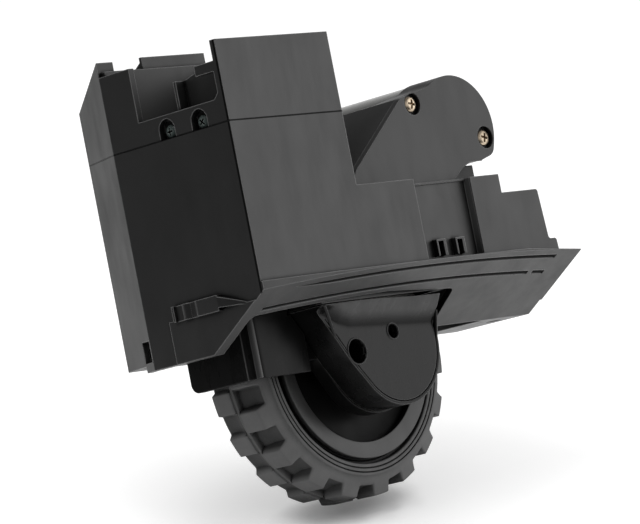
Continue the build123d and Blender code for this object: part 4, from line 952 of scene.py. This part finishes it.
class MODULE_OT_make_wheel_face(bpy.types.Operator):
    """Makes the dished hub with its ribs, and the pale ring on its face"""
    bl_idname = "module.make_wheel_face"
    bl_label = "Make the hub and its ring"

    # Sections as (radius, y) in millimetres from the wheel's middle, some corners with their own radius,
    # and the outline of a rib as (radius, y, height)
    ring_section = ((22.6, -10.3), (26.9, -10.6), (26.9, -8.75), (22.6, -8.75))
    hub_section = (
        (27.3, -8.6), (27.3, 8.9), (25.7, 8.9), (25.7, -5.2), (8.6, -5.0), (8.5, 6.7), (3.1, 6.75),
        (3.1, 0.5), (6.9, 0.5), (6.9, -6.8, 0.8), (20.5, -6.9, 1.2), (23.4, -7.6), (23.6, -8.6))
    rib_outline = ((8.3, -5.1, -0.9), (25.9, -5.1, -0.9), (25.9, 4.6, -0.9), (23.0, 5.7, -0.9),
                   (8.3, 5.7, -0.9))

    def execute(self, context):
        ring = lathe("pale_ring", rounded(self.ring_section, 0.3), tyre_middle)
        settle(ring, "drive_wheel", "ring_plastic", "ring_plastic", "rim_ring")
        hub = lathe("dished_hub", rounded(self.hub_section, 0.3), tyre_middle)
        settle(hub, "drive_wheel", "hub_plastic", "hub_plastic", "wheel_hub")
        ribs = prism("hub_ribs", [Vector(place) * mm for place in self.rib_outline], (0, 0, 1.8))
        run_tree(ribs, trees["ring"], Count=context.scene.module_wheel.rib_count, Phase=0.0,
                 Finish=materials["hub_plastic"])
        bevelled(ribs, 0.25)
        ribs.data.transform(Matrix.Translation(tyre_middle))
        shaded(ribs.data)
        settle(ribs, "drive_wheel", "hub_plastic", "hub_plastic")
        return {"FINISHED"}


# Screws and spring

def screw_mesh(name, head, height, shank, length):
    """A pan-head screw with a cross recess: head towards -Y, underside of the head at the origin."""
    dome, pitch, core = height * 0.35, shank * 0.55, shank * 0.82
    profile = [(0.0, -height), (head * 0.45, -height + dome * 0.12), (head * 0.8, -height + dome * 0.5),
               (head, -height + dome * 1.25), (head, 0.0), (shank, 0.0)]
    crest = 0.4
    while crest + pitch < length - shank:
        profile += [(core, crest), (shank, crest + pitch * 0.5)]
        crest += pitch
    profile += [(core, length - shank), (0.0, length)]
    body = lathe(name, profile, Vector((0, 0, 0)), 48)
    combine(body, "DIFFERENCE", add_object("recess", recess_mesh(head, height)))
    shaded(body.data, 40.0)
    return body


def recess_mesh(head, height):
    """The cross-shaped recess, narrower at its foot."""
    shape = bmesh.new()
    reach, half = head * 0.62, head * 0.16
    outline = []
    for quarter in range(4):
        angle = quarter * math.pi / 2
        for x, z in ((-half, -reach), (half, -reach), (half, -half)):
            outline.append((x * math.cos(angle) - z * math.sin(angle),
                            x * math.sin(angle) + z * math.cos(angle)))
    rings = []
    for size, y in ((1.0, -height - 0.2), (1.0, -height + 0.12), (0.6, -height * 0.3)):
        rings.append([shape.verts.new(Vector((x * size, y, z * size)) * mm) for x, z in outline])
    shape.faces.new(rings[0])
    shape.faces.new(list(reversed(rings[-1])))
    for first, second in zip(rings, rings[1:]):
        band(shape, second, first)
    return finished_mesh("recess", shape)


# Head radius, head height, shank radius and length in millimetres, the turn about Z of a screw whose
# head looks forward, and the finish
screw_kinds = {
    "cover_screws": (2.06, 1.3, 1.1, 6.5, 0, "nickel_steel"),
    "housing_screws": (1.7, 1.3, 1.0, 6.5, -90, "black_screw"),
    "drive_cover_screw": (2.0, 1.4, 0.9, 6.0, 0, "dark_steel"),
    "fender_screws": (1.7, 1.1, 0.9, 3.4, 180, "dark_steel"),
    "motor_screws": (1.5, 0.9, 0.8, 3.0, 0, "dark_steel"),
    "switch_screws": (1.4, 1.0, 0.7, 6.0, 0, "dark_steel"),
    "wheel_screw": (4.4, 1.8, 1.3, 8.0, 180, "nickel_steel"),
}
screw_bodies = {"housing_screws": "housing", "switch_screws": "housing", "wheel_screw": "drive_wheel"}


def screw_seats(name, height, turn):
    """Where the undersides of a node's screw heads are."""
    seats = []
    for low, high in islands(name):
        seat = (low + high) / 2
        if turn == 0:
            seat.y = low.y + height * mm
        elif turn == 180:
            seat.y = high.y - height * mm
        else:
            seat.x = low.x + height * mm
        seats.append(tuple(seat))
    return seats


class MODULE_OT_make_screws(bpy.types.Operator):
    """Makes every screw with its cross recess and thread, and sets the copies on their seats"""
    bl_idname = "module.make_screws"
    bl_label = "Make the screws"

    def execute(self, context):
        for seed, (name, kind) in enumerate(screw_kinds.items()):
            head, height, shank, length, turn, finish = kind
            source = screw_mesh(name + "_one", head, height, shank, length)
            mesh = bpy.data.meshes.new(name + "_seats")
            mesh.from_pydata(screw_seats(name, height, turn), [], [])
            piece = add_object(name + "_made", mesh)
            run_tree(piece, trees["seats"], Piece=source, Turn=(0.0, 0.0, math.radians(turn)), Twist=1.5,
                     Seed=seed + 4, Finish=materials[finish])
            drop(source)
            shaded(piece.data, 40.0)
            slot = "nickel_steel" if finish == "nickel_steel" else "dark_screw"
            settle(piece, screw_bodies.get(name, "swing_arm"), finish, slot, name)
        return {"FINISHED"}


class ModuleSpring(bpy.types.PropertyGroup):
    """Sizes of the spring that pushes the arm down."""
    turns: bpy.props.FloatProperty(name="Turns", description="Turns of the coil", default=9.0, min=1)
    coil_radius: bpy.props.FloatProperty(
        name="Coil radius", description="To the middle of the wire", default=4.4 * mm, unit="LENGTH")
    wire_radius: bpy.props.FloatProperty(
        name="Wire radius", description="Half the wire's thickness", default=0.6 * mm, unit="LENGTH")
    length: bpy.props.FloatProperty(
        name="Length", description="Length of the coil along the pin", default=18.0 * mm, unit="LENGTH")
    leg: bpy.props.FloatProperty(
        name="Leg", description="Length of each straight leg", default=5.2 * mm, unit="LENGTH")


# Where the coil begins on the pivot pin
spring_place = (90.0, 19.0, -27.0)


class MODULE_OT_make_spring(bpy.types.Operator):
    """Winds the arm's torsion spring with its two legs"""
    bl_idname = "module.make_spring"
    bl_label = "Make the spring"

    def execute(self, context):
        spring = context.scene.module_spring
        piece = add_object("wound_spring", bpy.data.meshes.new("wound_spring"))
        run_tree(piece, trees["spring"], Turns=spring.turns, Coil_Radius=spring.coil_radius,
                 Wire_Radius=spring.wire_radius, Length=spring.length, Leg=spring.leg,
                 Finish=materials["spring_steel"])
        piece.data.transform(Matrix.Translation(at(*spring_place)))
        shaded(piece.data, 50.0)
        settle(piece, "housing", "spring_steel", "steel", "suspension_spring")
        return {"FINISHED"}


# Mouldings

# Edge radius in millimetres, body, finish and slot of each moulding that keeps its solid's shape
mouldings = {
    "gearbox_case": (0.15, "swing_arm", "case_plastic", "black_plastic"),
    "motor_end_cap": (0.3, "swing_arm", "cap_plastic", "end_cap_plastic"),
    "wiring_connector": (0.15, "housing", "connector_plastic", "connector_plastic"),
    "drop_switch_body": (0.2, "housing", "switch_plastic", "switch_plastic"),
}


class MODULE_OT_round_mouldings(bpy.types.Operator):
    """Rounds the sharp edges of the moulded parts that keep their solids' shapes"""
    bl_idname = "module.round_mouldings"
    bl_label = "Round the mouldings"

    def execute(self, context):
        for name, (width, body, finish, slot) in mouldings.items():
            mesh = bpy.data.meshes.new(name + "_copy")
            whole_faces(frame["nodes"][name].data, mesh)
            shaded(mesh)
            piece = add_object(name + "_moulding", mesh)
            bevelled(piece, width, 35.0)
            settle(piece, body, finish, slot, name)
        return {"FINISHED"}


# The skirt's bevel: where its curved front edge comes furthest forward as (x, y), twice the radius of
# that curve, and the bevel's height at y 0 and its fall per millimetre
skirt_front = (63.3, -4.02)
skirt_curve = 1140
skirt_height, skirt_fall = -42.9, 0.607

# The two long grooves: how far in from the front edge each begins and ends, and their ends along x
skirt_grooves = ((1.62, 2.78), (6.82, 7.98))
groove_start, groove_end = 5.0, 109.5
groove_steps = 60


def skirt_place(x, inset_by, sunk):
    """A place on the skirt's bevel, in from its curved front edge and sunk into it."""
    y = skirt_front[1] + (x - skirt_front[0]) ** 2 / skirt_curve + inset_by
    return at(x, y, skirt_height - skirt_fall * y + sunk)


class MODULE_OT_make_groove_shading(bpy.types.Operator):
    """Lays two dark matt strips into the skirt's long grooves: painted shade."""
    bl_idname = "module.make_groove_seals"
    bl_label = "Make the painted groove shade"

    def execute(self, context):
        for number, (front, back) in enumerate(skirt_grooves, 1):
            corners = ((front, 0.8), (front, 0.3), (front + 0.2, 0.15), (back - 0.2, 0.15), (back, 0.3),
                       (back, 0.8))
            shape = bmesh.new()
            rings = []
            for step in range(groove_steps + 1):
                x = groove_start + (groove_end - groove_start) * step / groove_steps
                rings.append([shape.verts.new(skirt_place(x, place, sunk)) for place, sunk in corners])
            for first, second in zip(rings, rings[1:]):
                band(shape, first, second)
            shape.faces.new(rings[0])
            shape.faces.new(list(reversed(rings[-1])))
            name = f"groove_seal_{number}"
            # A dark strip in the groove: painted shade
            painted_strip = add_object(name, finished_mesh(name, shape, angle=50.0))
            settle(painted_strip, "housing", "seal_rubber", "black_plastic")
        return {"FINISHED"}


class MODULE_OT_make_recess_trim(bpy.types.Operator):
    """Makes the lip over the recess, and the strip and the two beads of its step in a lighter plastic:
    painted highlight.
    """
    bl_idname = "module.make_recess_trim"
    bl_label = "Trim the recess"

    def execute(self, context):
        lip = block("recess_lip", (61.5, 4.3, -20.25), (85.4, 5.0, -19.62))
        bevelled(lip, 0.12)
        settle(lip, "housing", "housing_plastic", "black_plastic")
        # A lighter strip on the step's wall: painted light
        step = block("step_strip", (85.35, 2.85, -43.9), (85.52, 4.75, -19.75))
        settle(step, "housing", "trim_plastic", "black_plastic")
        # Lighter beads along the step's two edges: painted highlight
        for name, x, y, low in (("step_bead", 85.3, 4.7, -45.2), ("panel_bead", 85.5, 2.62, -44.2)):
            bar = round_bar(name, [(x, y, low), (x, y, -19.75)], 0.16)
            settle(bar, "housing", "trim_plastic", "black_plastic")
        return {"FINISHED"}


# The arm's covers

# The lower cover, in millimetres: its holes, the axis that its arc is round, its right side and its
# flare's, the height of the flare's top on the left, how far the flare reaches forward and the share of it
# that is hollow, the places of the flat face and the back, and the wall
big_hole, big_radius = (41.0, -59.7), 3.15
small_hole, small_radius = (55.3, -55.8), 1.85
cover_axis, cover_radius = (55.9, -59.2), 15.6
cover_right, flare_right = 72.0, 71.6
flare_height = -47.3
flare_reach, flare_hollow = 3.9, 0.12
cover_face, cover_back = 11.5, 21.48
cover_wall = 1.5


def arc_points(centre, radius, start, end, steps):
    """Points along an arc in a plane; angles are in degrees."""
    points = []
    for step in range(steps + 1):
        angle = math.radians(start + (end - start) * step / steps)
        points.append((centre[0] + radius * math.cos(angle), centre[1] + radius * math.sin(angle)))
    return points


def inset(outline, distance):
    """A closed outline, which runs clockwise or not, moved inwards."""
    turning = sum(x1 * y2 - x2 * y1 for (x1, y1), (x2, y2) in zip(outline, outline[1:] + outline[:1]))
    side = 1.0 if turning > 0 else -1.0
    moved = []
    for index, (x, y) in enumerate(outline):
        before = Vector((x, y)) - Vector(outline[index - 1])
        after = Vector(outline[(index + 1) % len(outline)]) - Vector((x, y))
        along = before.normalized() + after.normalized()
        inward = Vector((-along.y, along.x)).normalized() * side
        stretch = max(0.5, before.normalized().dot(along.normalized()))
        moved.append((x + inward.x * distance / stretch, y + inward.y * distance / stretch))
    return moved


def drive_outline(top=None, narrow=False):
    """The lower cover's outline: slanted left side, arc about the wheel's axis, right side and top. The
    flare is narrower on the right than what lies behind it."""
    left_top = flare_height if top is None else top
    right_top = flare_top(cover_right) if top is None else top
    right_end = flare_right if narrow else cover_right + (right_top + 51.9) * 0.653
    arc = arc_points(cover_axis, cover_radius, 216.0, 360.0, 64)
    side = rounded([(28.3, left_top), (34.1, -55.7, 8.0), (38.3, -62.2, 8.0), arc[0]], 0.0, 8)
    end = [(71.7 if narrow else cover_right, -51.9), (right_end, right_top)]
    return side[:-1] + arc + end + ([(64.0, right_top), (44.0, left_top)] if top is None else [])


# Where the flare begins, from left to right, as (x, z)
crease = ((28.0, -48.2), (31.3, -49.4), (36.0, -52.2), (39.9, -53.4), (52.0, -54.1), (76.0, -55.4))


def crease_z(x):
    """Height at which the lower cover's flare begins."""
    for (x1, z1), (x2, z2) in zip(crease, crease[1:]):
        if x <= x2:
            return z1 + (z2 - z1) * max(0.0, (x - x1) / (x2 - x1))
    return crease[-1][1]


def flare_drop(x, z, right_end=flare_right):
    """How far the flare brings the cover's face forward: a tight hollow, then a long even slope."""
    if x > right_end:
        return 0.0
    start = crease_z(x)
    share = min(1.0, max(0.0, (z - start) / (flare_top(x) - start)))
    return flare_reach * (share * share / (share + flare_hollow)) * (1 + flare_hollow)


def flare_top(x):
    """Height of the flare's top edge, which falls a little to the right."""
    return flare_height - 0.75 * min(1.0, max(0.0, (x - 44.0) / 20.0))


def flared_slab(name, shift, right_end=flare_right):
    """A slab with the flared face in front, wider and taller than the cover."""
    left, width, low, height, back_y = 24.0, 56.0, -78.0, 36.0, 40.0
    columns, rows = 96, 72
    shape = bmesh.new()
    grid = []
    for column in range(columns + 1):
        x = left + width * column / columns
        line = []
        for row in range(rows + 1):
            z = low + height * row / rows
            line.append(shape.verts.new(at(x, cover_face - flare_drop(x, z, right_end) + shift, z)))
        grid.append(line)
    for first, second in zip(grid, grid[1:]):
        for row in range(rows):
            shape.faces.new((first[row], first[row + 1], second[row + 1], second[row]))
    border = grid[0] + [line[-1] for line in grid[1:-1]] + list(reversed(grid[-1]))
    border += [line[0] for line in reversed(grid[1:-1])]
    back = [shape.verts.new((vertex.co.x, at(0, back_y, 0).y, vertex.co.z)) for vertex in border]
    band(shape, border, back)
    shape.faces.new(back)
    return add_object(name, finished_mesh(name, shape))


def turned(name, profile, place, steps=64):
    """A piece turned round an axis along Y, at a place in the plane of X and Z."""
    return lathe(name, profile, at(place[0], 0, place[1]), steps)


def hole_cutter(place, radius, start, end, steps=48):
    """A round cutter along Y."""
    return turned("hole", [(0.0, start), (radius, start), (radius, end), (0.0, end)], place, steps)


def paint_flare(mesh):
    """Stores the cover's painted shade, in the hollow below the flare, and its painted sheen, on the flare
    itself."""
    hollow = mesh.attributes.new("hollow", "FLOAT", "POINT")
    sheen = mesh.attributes.new("sheen", "FLOAT", "POINT")
    for index, vertex in enumerate(mesh.vertices):
        x, y, z = (vertex.co - corner) / mm
        if y > cover_face + 0.1 - flare_drop(x, z):
            continue
        above = z - crease_z(x)
        hollow.data[index].value = 0.5 * math.exp(-((above - 0.5) / 0.9) ** 2)
        sheen.data[index].value = 0.4 * min(1.0, max(0.0, (above - 1.6) / 2.0))


class MODULE_OT_make_drive_cover(bpy.types.Operator):
    """Makes the flared cover over the final gears, with its rim and its two holes"""
    bl_idname = "module.make_drive_cover"
    bl_label = "Make the lower cover"

    def execute(self, context):
        outline = drive_outline()
        cover = flared_slab("flared_cover", 0.0)
        combine(cover, "INTERSECT", outline_block("outline", outline, 5.0, cover_back))
        cavity = flared_slab("cavity", cover_wall, flare_right - cover_wall)
        inner = inset(drive_outline(-40.0), cover_wall)
        combine(cavity, "INTERSECT", outline_block("inner", inner, 5.0, 24.0))
        groove = outline_block("groove", inset(outline, 0.75), 5.0, 20.0)
        combine(groove, "DIFFERENCE", outline_block("groove_island", inset(outline, 1.1), 4.0, 21.0))
        combine(groove, "DIFFERENCE", flared_slab("groove_floor", 0.5))
        groove_top = block("groove_top", (0.0, 0.0, flare_top(50.0) - 3.0), (110.0, 30.0, 0.0))
        combine(groove, "DIFFERENCE", groove_top)
        notch = (big_hole[0] + 2.9, big_hole[1])
        combine(cover, "DIFFERENCE", cavity, groove, hole_cutter(big_hole, big_radius, 5.0, 15.0),
                hole_cutter(notch, 0.9, 5.0, 15.0, 24), hole_cutter(small_hole, small_radius, 5.0, 15.0))
        shaded(cover.data, 32.0)
        paint_flare(cover.data)
        settle(cover, "swing_arm", "cover_plastic", "black_plastic", "final_drive_cover")
        self.make_cup()
        self.make_lips()
        self.make_rim()
        return {"FINISHED"}

    def make_cup(self):
        """The deep cup behind the large hole."""
        profile = [(3.4, 12.2), (3.4, 20.0), (0.95, 20.0), (0.95, 18.5), (big_radius, 18.5),
                   (big_radius, 12.2)]
        settle(turned("hole_cup", profile, big_hole), "swing_arm", "cover_plastic", "black_plastic")

    def make_rim(self):
        """The rounded rim along the cover's front edge."""
        path = inset(drive_outline(-47.0, narrow=True), 0.42)
        places = [(x, cover_face - flare_drop(x, z) + 0.36, z) for x, z in path if z < flare_top(x) + 0.3]
        rim = round_bar("cover_rim", places, 0.46)
        settle(rim, "swing_arm", "cover_plastic", "black_plastic")

    def make_lips(self):
        """The thin rounded lips round both holes."""
        section = ((0.0, 12.0), (0.0, 11.45), (0.08, 11.3), (0.22, 11.25), (0.36, 11.3), (0.44, 11.45),
                   (0.44, 12.0))
        for name, place, radius in (("large_hole_lip", big_hole, big_radius),
                                    ("small_hole_lip", small_hole, small_radius)):
            lip = turned(name, [(radius + out, y) for out, y in section], place)
            settle(lip, "swing_arm", "cover_plastic", "black_plastic")


class MODULE_OT_make_fender(bpy.types.Operator):
    """Makes the two beads down the corner of the guard beside the wheel, in a lighter plastic: painted
    highlight.
    """
    bl_idname = "module.make_fender"
    bl_label = "Trim the fender"

    def execute(self, context):
        low, high = -62.42, -45.1
        for name, middle, radius in (("corner_bead", (14.25, 20.65), 1.0), ("side_bead", (13.65, 23.5), 0.7)):
            circle = [at(x, y, low) for x, y in arc_points(middle, radius, 0.0, 342.0, 19)]
            settle(prism(name, circle, (0, 0, high - low)), "swing_arm", "trim_plastic", "black_plastic")
        return {"FINISHED"}


# The arm's front plate: where its screws are, and its outline before and after the arc round the motor,
# some corners with their own radius
cover_screw_places = ((75.4, 1.5), (100.6, -8.9), (38.9, -33.0), (78.0, -37.6))
motor_axis, motor_end_radius = (90.6, -5.7), 13.9
plate_crest = [(27.9, -47.0), (38.0, -28.0, 4.0), (50.1, -14.0, 6.0), (71.2, 3.2, 4.0), (78.2, 4.7, 2.0)]
plate_chin = [(102.6, -13.4, 3.2), (97.6, -14.8, 1.0), (92.9, -14.8, 3.0), (89.5, -16.3, 3.0),
              (86.1, -18.7, 3.0), (84.0, -22.5, 3.0), (84.0, -33.4, 3.0), (75.2, -47.0)]
chin_lip = ((97.6, -14.85), (92.9, -14.9), (89.3, -16.45), (86.0, -18.85), (84.1, -22.5))
plate_front, plate_back = 8.0, 10.0


class MODULE_OT_make_arm_plate(bpy.types.Operator):
    """Makes the arm's slanted front plate with its counterbored screw holes"""
    bl_idname = "module.make_arm_plate"
    bl_label = "Make the arm's plate"

    def execute(self, context):
        arc = arc_points(motor_axis, motor_end_radius, 124.0, -18.0, 46)
        outline = rounded(plate_crest + arc + plate_chin, 0.0, 5)
        plate = outline_block("arm_plate", outline, plate_front, plate_back)
        cutters = []
        for place in cover_screw_places:
            cutters.append(hole_cutter(place, 2.95, plate_front - 2.0, plate_front + 1.5))
            cutters.append(hole_cutter(place, 1.15, plate_front + 1.0, plate_back + 2.0, 24))
        combine(plate, "DIFFERENCE", *cutters)
        whole_faces(plate.data, plate.data)
        bevelled(plate, 0.12, 40.0)
        settle(plate, "swing_arm", "arm_plastic", "black_plastic", "gearbox_cover")
        # The chin's lip in the lighter plastic: painted highlight
        lip = round_bar("chin_lip", [(x, plate_front + 0.1, z) for x, z in chin_lip], 0.14)
        settle(lip, "swing_arm", "trim_plastic", "black_plastic")
        return {"FINISHED"}


# Stage

class ModuleStage(bpy.types.PropertyGroup):
    """Where the camera stands, and how the stage is lit."""
    azimuth: bpy.props.FloatProperty(
        name="Azimuth", description="Turn of the camera round the module", default=math.radians(-46.285),
        subtype="ANGLE")
    elevation: bpy.props.FloatProperty(
        name="Elevation", description="Height of the camera over the module's base",
        default=math.radians(-4.299), subtype="ANGLE")
    roll: bpy.props.FloatProperty(
        name="Roll", description="Turn of the camera about its own line of sight",
        default=math.radians(-11.063), subtype="ANGLE")
    distance: bpy.props.FloatProperty(
        name="Distance", description="From the camera to the module", default=1.2294, unit="LENGTH")
    lens: bpy.props.FloatProperty(
        name="Lens", description="Focal length in millimetres", default=281.425)
    floor_tilt: bpy.props.FloatProperty(
        name="Floor tilt", description="How far the camera looks down on the floor",
        default=math.radians(17.0), subtype="ANGLE")
    key_power: bpy.props.FloatProperty(
        name="Key light", description="Power of the main lamp", default=2.9, unit="POWER")
    top_power: bpy.props.FloatProperty(
        name="Top light", description="Power of the lamp above", default=1.6, unit="POWER")
    fill_strength: bpy.props.FloatProperty(
        name="Fill", description="Strength of the world's light", default=0.48)
    gloss_strength: bpy.props.FloatProperty(
        name="Studio", description="How bright the studio looks in the module's gloss", default=0.8)


# What the camera looks at, in millimetres off the housing's corner; how far under the axle the floor
# is, in millimetres; and the floor's corners to the right of the wheel and beyond it, in metres
camera_aim = (12.494, -8.966, -38.366)
floor_under_axle = 36.0
floor_edge = ((-0.17, -0.15), (0.6, -0.15), (0.6, 0.6), (-0.8, 0.6), (-0.17, 0.0))


def view_axes(stage):
    """The camera's right, up and back directions."""
    turn, lift, roll = stage.azimuth, stage.elevation, stage.roll
    back = Vector((math.sin(turn) * math.cos(lift), -math.cos(turn) * math.cos(lift), math.sin(lift)))
    level_right = Vector((math.cos(turn), math.sin(turn), 0))
    level_up = back.cross(level_right)
    right = level_right * math.cos(roll) + level_up * math.sin(roll)
    up = level_up * math.cos(roll) - level_right * math.sin(roll)
    return right, up, back


def make_camera(stage):
    """The camera, standing where the photograph was taken."""
    right, up, back = view_axes(stage)
    data = bpy.data.cameras.new("camera")
    data.lens = stage.lens
    data.sensor_width = 36.0
    data.clip_start = 0.1
    data.clip_end = 20.0
    camera = add_object("camera", data)
    camera.matrix_world = Matrix((right, up, back)).transposed().to_4x4()
    camera.location = at(*camera_aim) + back * stage.distance
    bpy.context.scene.camera = camera


def make_floor(stage):
    """A plain pale floor under the wheel's lowest point, clear when seen from below."""
    right, up, back = view_axes(stage)
    rise = up * math.cos(stage.floor_tilt) + back * math.sin(stage.floor_tilt)
    far = rise.cross(right)
    axle = Vector((0, 1, 0))
    down = -(rise - axle * rise.dot(axle)).normalized()
    low_y = tyre_low.y if rise.y > 0 else tyre_high.y
    contact = Vector((wheel_place.x, low_y, wheel_place.z)) + down * floor_under_axle * mm
    corners = [contact + right * x + far * y for x, y in floor_edge]
    mesh = bpy.data.meshes.new("floor")
    mesh.from_pydata([tuple(place) for place in corners], [], [tuple(range(len(corners)))])
    floor = add_object("floor", mesh)
    make_floor_finish()
    mesh.materials.append(materials["floor_pale"])
    floor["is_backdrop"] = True


def make_floor_finish():
    """Pale and matt, brightened to the backdrop's white for the camera, dimmed close under the module as a
    painted shadow, and clear from below.
    """
    tree, shader = new_material("floor_pale")
    shader.inputs["Base Color"].default_value = (0.86, 0.86, 0.86, 1)
    shader.inputs["Roughness"].default_value = 0.9
    shader.inputs["Specular IOR Level"].default_value = 0.1
    path = node(tree, "ShaderNodeLightPath").outputs
    seen = calculate(tree, "MAXIMUM", path["Is Camera Ray"],
                     calculate(tree, "MAXIMUM", path["Is Glossy Ray"], path["Is Transmission Ray"]))
    lift = 0.5
    # Painted shadow: the glow is dimmed where the floor lies close under the module
    for distance, low, high, least in ((0.009, 0.45, 0.95, 0.1), (0.05, 0.3, 0.75, 0.7)):
        closed = node(tree, "ShaderNodeAmbientOcclusion", {"Distance": distance}, samples=8).outputs["AO"]
        lift = calculate(tree, "MULTIPLY", lift, spread(tree, closed, low, high, least, 1.0))
    glow = node(tree, "ShaderNodeEmission", {"Color": (1, 1, 1, 1),
                                             "Strength": calculate(tree, "MULTIPLY", seen, lift)})
    lit = node(tree, "ShaderNodeAddShader", {0: shader.outputs["BSDF"], 1: glow.outputs["Emission"]})
    clear = node(tree, "ShaderNodeBsdfTransparent").outputs["BSDF"]
    behind = node(tree, "ShaderNodeNewGeometry").outputs["Backfacing"]
    side = node(tree, "ShaderNodeMixShader", {0: behind, 1: lit.outputs["Shader"], 2: clear})
    feed(tree, tree.nodes["Material Output"].inputs["Surface"], side.outputs["Shader"])


def lamp(name, direction, distance, size, power):
    """A soft square lamp that looks at the module from a direction."""
    data = bpy.data.lights.new(name, "AREA")
    data.shape = "SQUARE"
    data.size = size
    data.energy = power
    light = add_object(name, data)
    way = Vector(direction).normalized()
    light.location = (cad_box[0] + cad_box[1]) / 2 + way * distance
    light.rotation_mode = "QUATERNION"
    light.rotation_quaternion = way.to_track_quat("Z", "Y")


def make_world(strength, gloss):
    """A white backdrop for the camera, a soft even light, and a studio that gloss sees as darker on
    the left, above and below."""
    world = bpy.data.worlds.new("studio")
    bpy.context.scene.world = world
    world.use_nodes = True
    tree = world.node_tree
    backdrop = tree.nodes["Background"]
    backdrop.inputs["Color"].default_value = (1, 1, 1, 1)
    way = axes(tree, node(tree, "ShaderNodeTexCoord").outputs["Generated"])
    left = spread(tree, way["X"], -0.75, -0.2, 0.04, 1.0)
    above = spread(tree, way["Z"], 0.2, 0.7, 1.0, 0.15)
    below = spread(tree, way["Z"], -0.3, -0.05, 0.1, 1.0)
    studio = calculate(tree, "MULTIPLY", calculate(tree, "MULTIPLY", left, above), gloss)
    studio = calculate(tree, "MULTIPLY", studio, below)
    path = node(tree, "ShaderNodeLightPath").outputs
    direct = calculate(tree, "MAXIMUM", path["Is Camera Ray"], path["Is Transmission Ray"])
    glossy = calculate(tree, "MULTIPLY", path["Is Glossy Ray"], studio)
    even = calculate(tree, "MULTIPLY", path["Is Diffuse Ray"], strength)
    shown = calculate(tree, "MAXIMUM", direct, calculate(tree, "MAXIMUM", glossy, even))
    feed(tree, backdrop.inputs["Strength"], shown)


class MODULE_OT_set_stage(bpy.types.Operator):
    """Sets the floor, the backdrop, the lamps and the camera"""
    bl_idname = "module.set_stage"
    bl_label = "Set the stage"

    def execute(self, context):
        stage = context.scene.module_stage
        make_camera(stage)
        make_floor(stage)
        make_world(stage.fill_strength, stage.gloss_strength)
        lamp("key_light", (0.72, -0.69, 0.2), 0.8, 0.9, stage.key_power)
        lamp("top_light", (-0.5, -0.3, 1.0), 0.7, 0.35, stage.top_power)
        context.scene.view_settings.view_transform = "Standard"
        return {"FINISHED"}


class MODULE_PT_pieces(bpy.types.Panel):
    """Lists the module's operators and sizes"""
    bl_idname = "MODULE_PT_pieces"
    bl_label = "Wheel module"
    bl_space_type = "VIEW_3D"
    bl_region_type = "UI"
    bl_category = "Wheel module"

    def draw(self, context):
        for operator in operators:
            self.layout.operator(operator.bl_idname)
        scene = context.scene
        for settings in (scene.module_finish, scene.module_stage, scene.module_wheel, scene.module_spring):
            for name in settings.bl_rna.properties.keys():
                if name not in ("name", "rna_type"):
                    self.layout.prop(settings, name)


operators = (
    MODULE_OT_finish_nodes,
    MODULE_OT_set_stage,
    MODULE_OT_make_tyre,
    MODULE_OT_make_wheel_face,
    MODULE_OT_make_screws,
    MODULE_OT_make_spring,
    MODULE_OT_make_drive_cover,
    MODULE_OT_make_arm_plate,
    MODULE_OT_make_fender,
    MODULE_OT_round_mouldings,
    MODULE_OT_make_groove_shading,
    MODULE_OT_make_recess_trim,
)
classes = (ModuleFinish, ModuleStage, ModuleWheel, ModuleSpring, *operators, MODULE_PT_pieces)


def register():
    """Makes the classes and settings known to Blender."""
    for made in classes:
        bpy.utils.register_class(made)
    bpy.types.Scene.module_finish = bpy.props.PointerProperty(type=ModuleFinish)
    bpy.types.Scene.module_stage = bpy.props.PointerProperty(type=ModuleStage)
    bpy.types.Scene.module_wheel = bpy.props.PointerProperty(type=ModuleWheel)
    bpy.types.Scene.module_spring = bpy.props.PointerProperty(type=ModuleSpring)


def unregister():
    """Takes the classes and settings out again."""
    del bpy.types.Scene.module_spring
    del bpy.types.Scene.module_wheel
    del bpy.types.Scene.module_stage
    del bpy.types.Scene.module_finish
    for made in reversed(classes):
        bpy.utils.unregister_class(made)


def write_sizes():
    """Puts the solids' box and the dressed module's box into lists, and keeps them nowhere."""
    boxes = {"cad": cad_box, "visual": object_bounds()}
    {name: [list(low), list(high)] for name, (low, high) in boxes.items()}


def main():
    """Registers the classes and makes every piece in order."""
    register()
    bpy.ops.module.finish_nodes()
    bpy.ops.module.set_stage()
    make_trees()
    bpy.ops.module.make_tyre()
    bpy.ops.module.make_wheel_face()
    bpy.ops.module.make_screws()
    bpy.ops.module.make_spring()
    bpy.ops.module.make_drive_cover()
    bpy.ops.module.make_arm_plate()
    bpy.ops.module.make_fender()
    bpy.ops.module.round_mouldings()
    bpy.ops.module.make_groove_seals()
    bpy.ops.module.make_recess_trim()
    write_sizes()


if __name__ == "__main__":
    main()
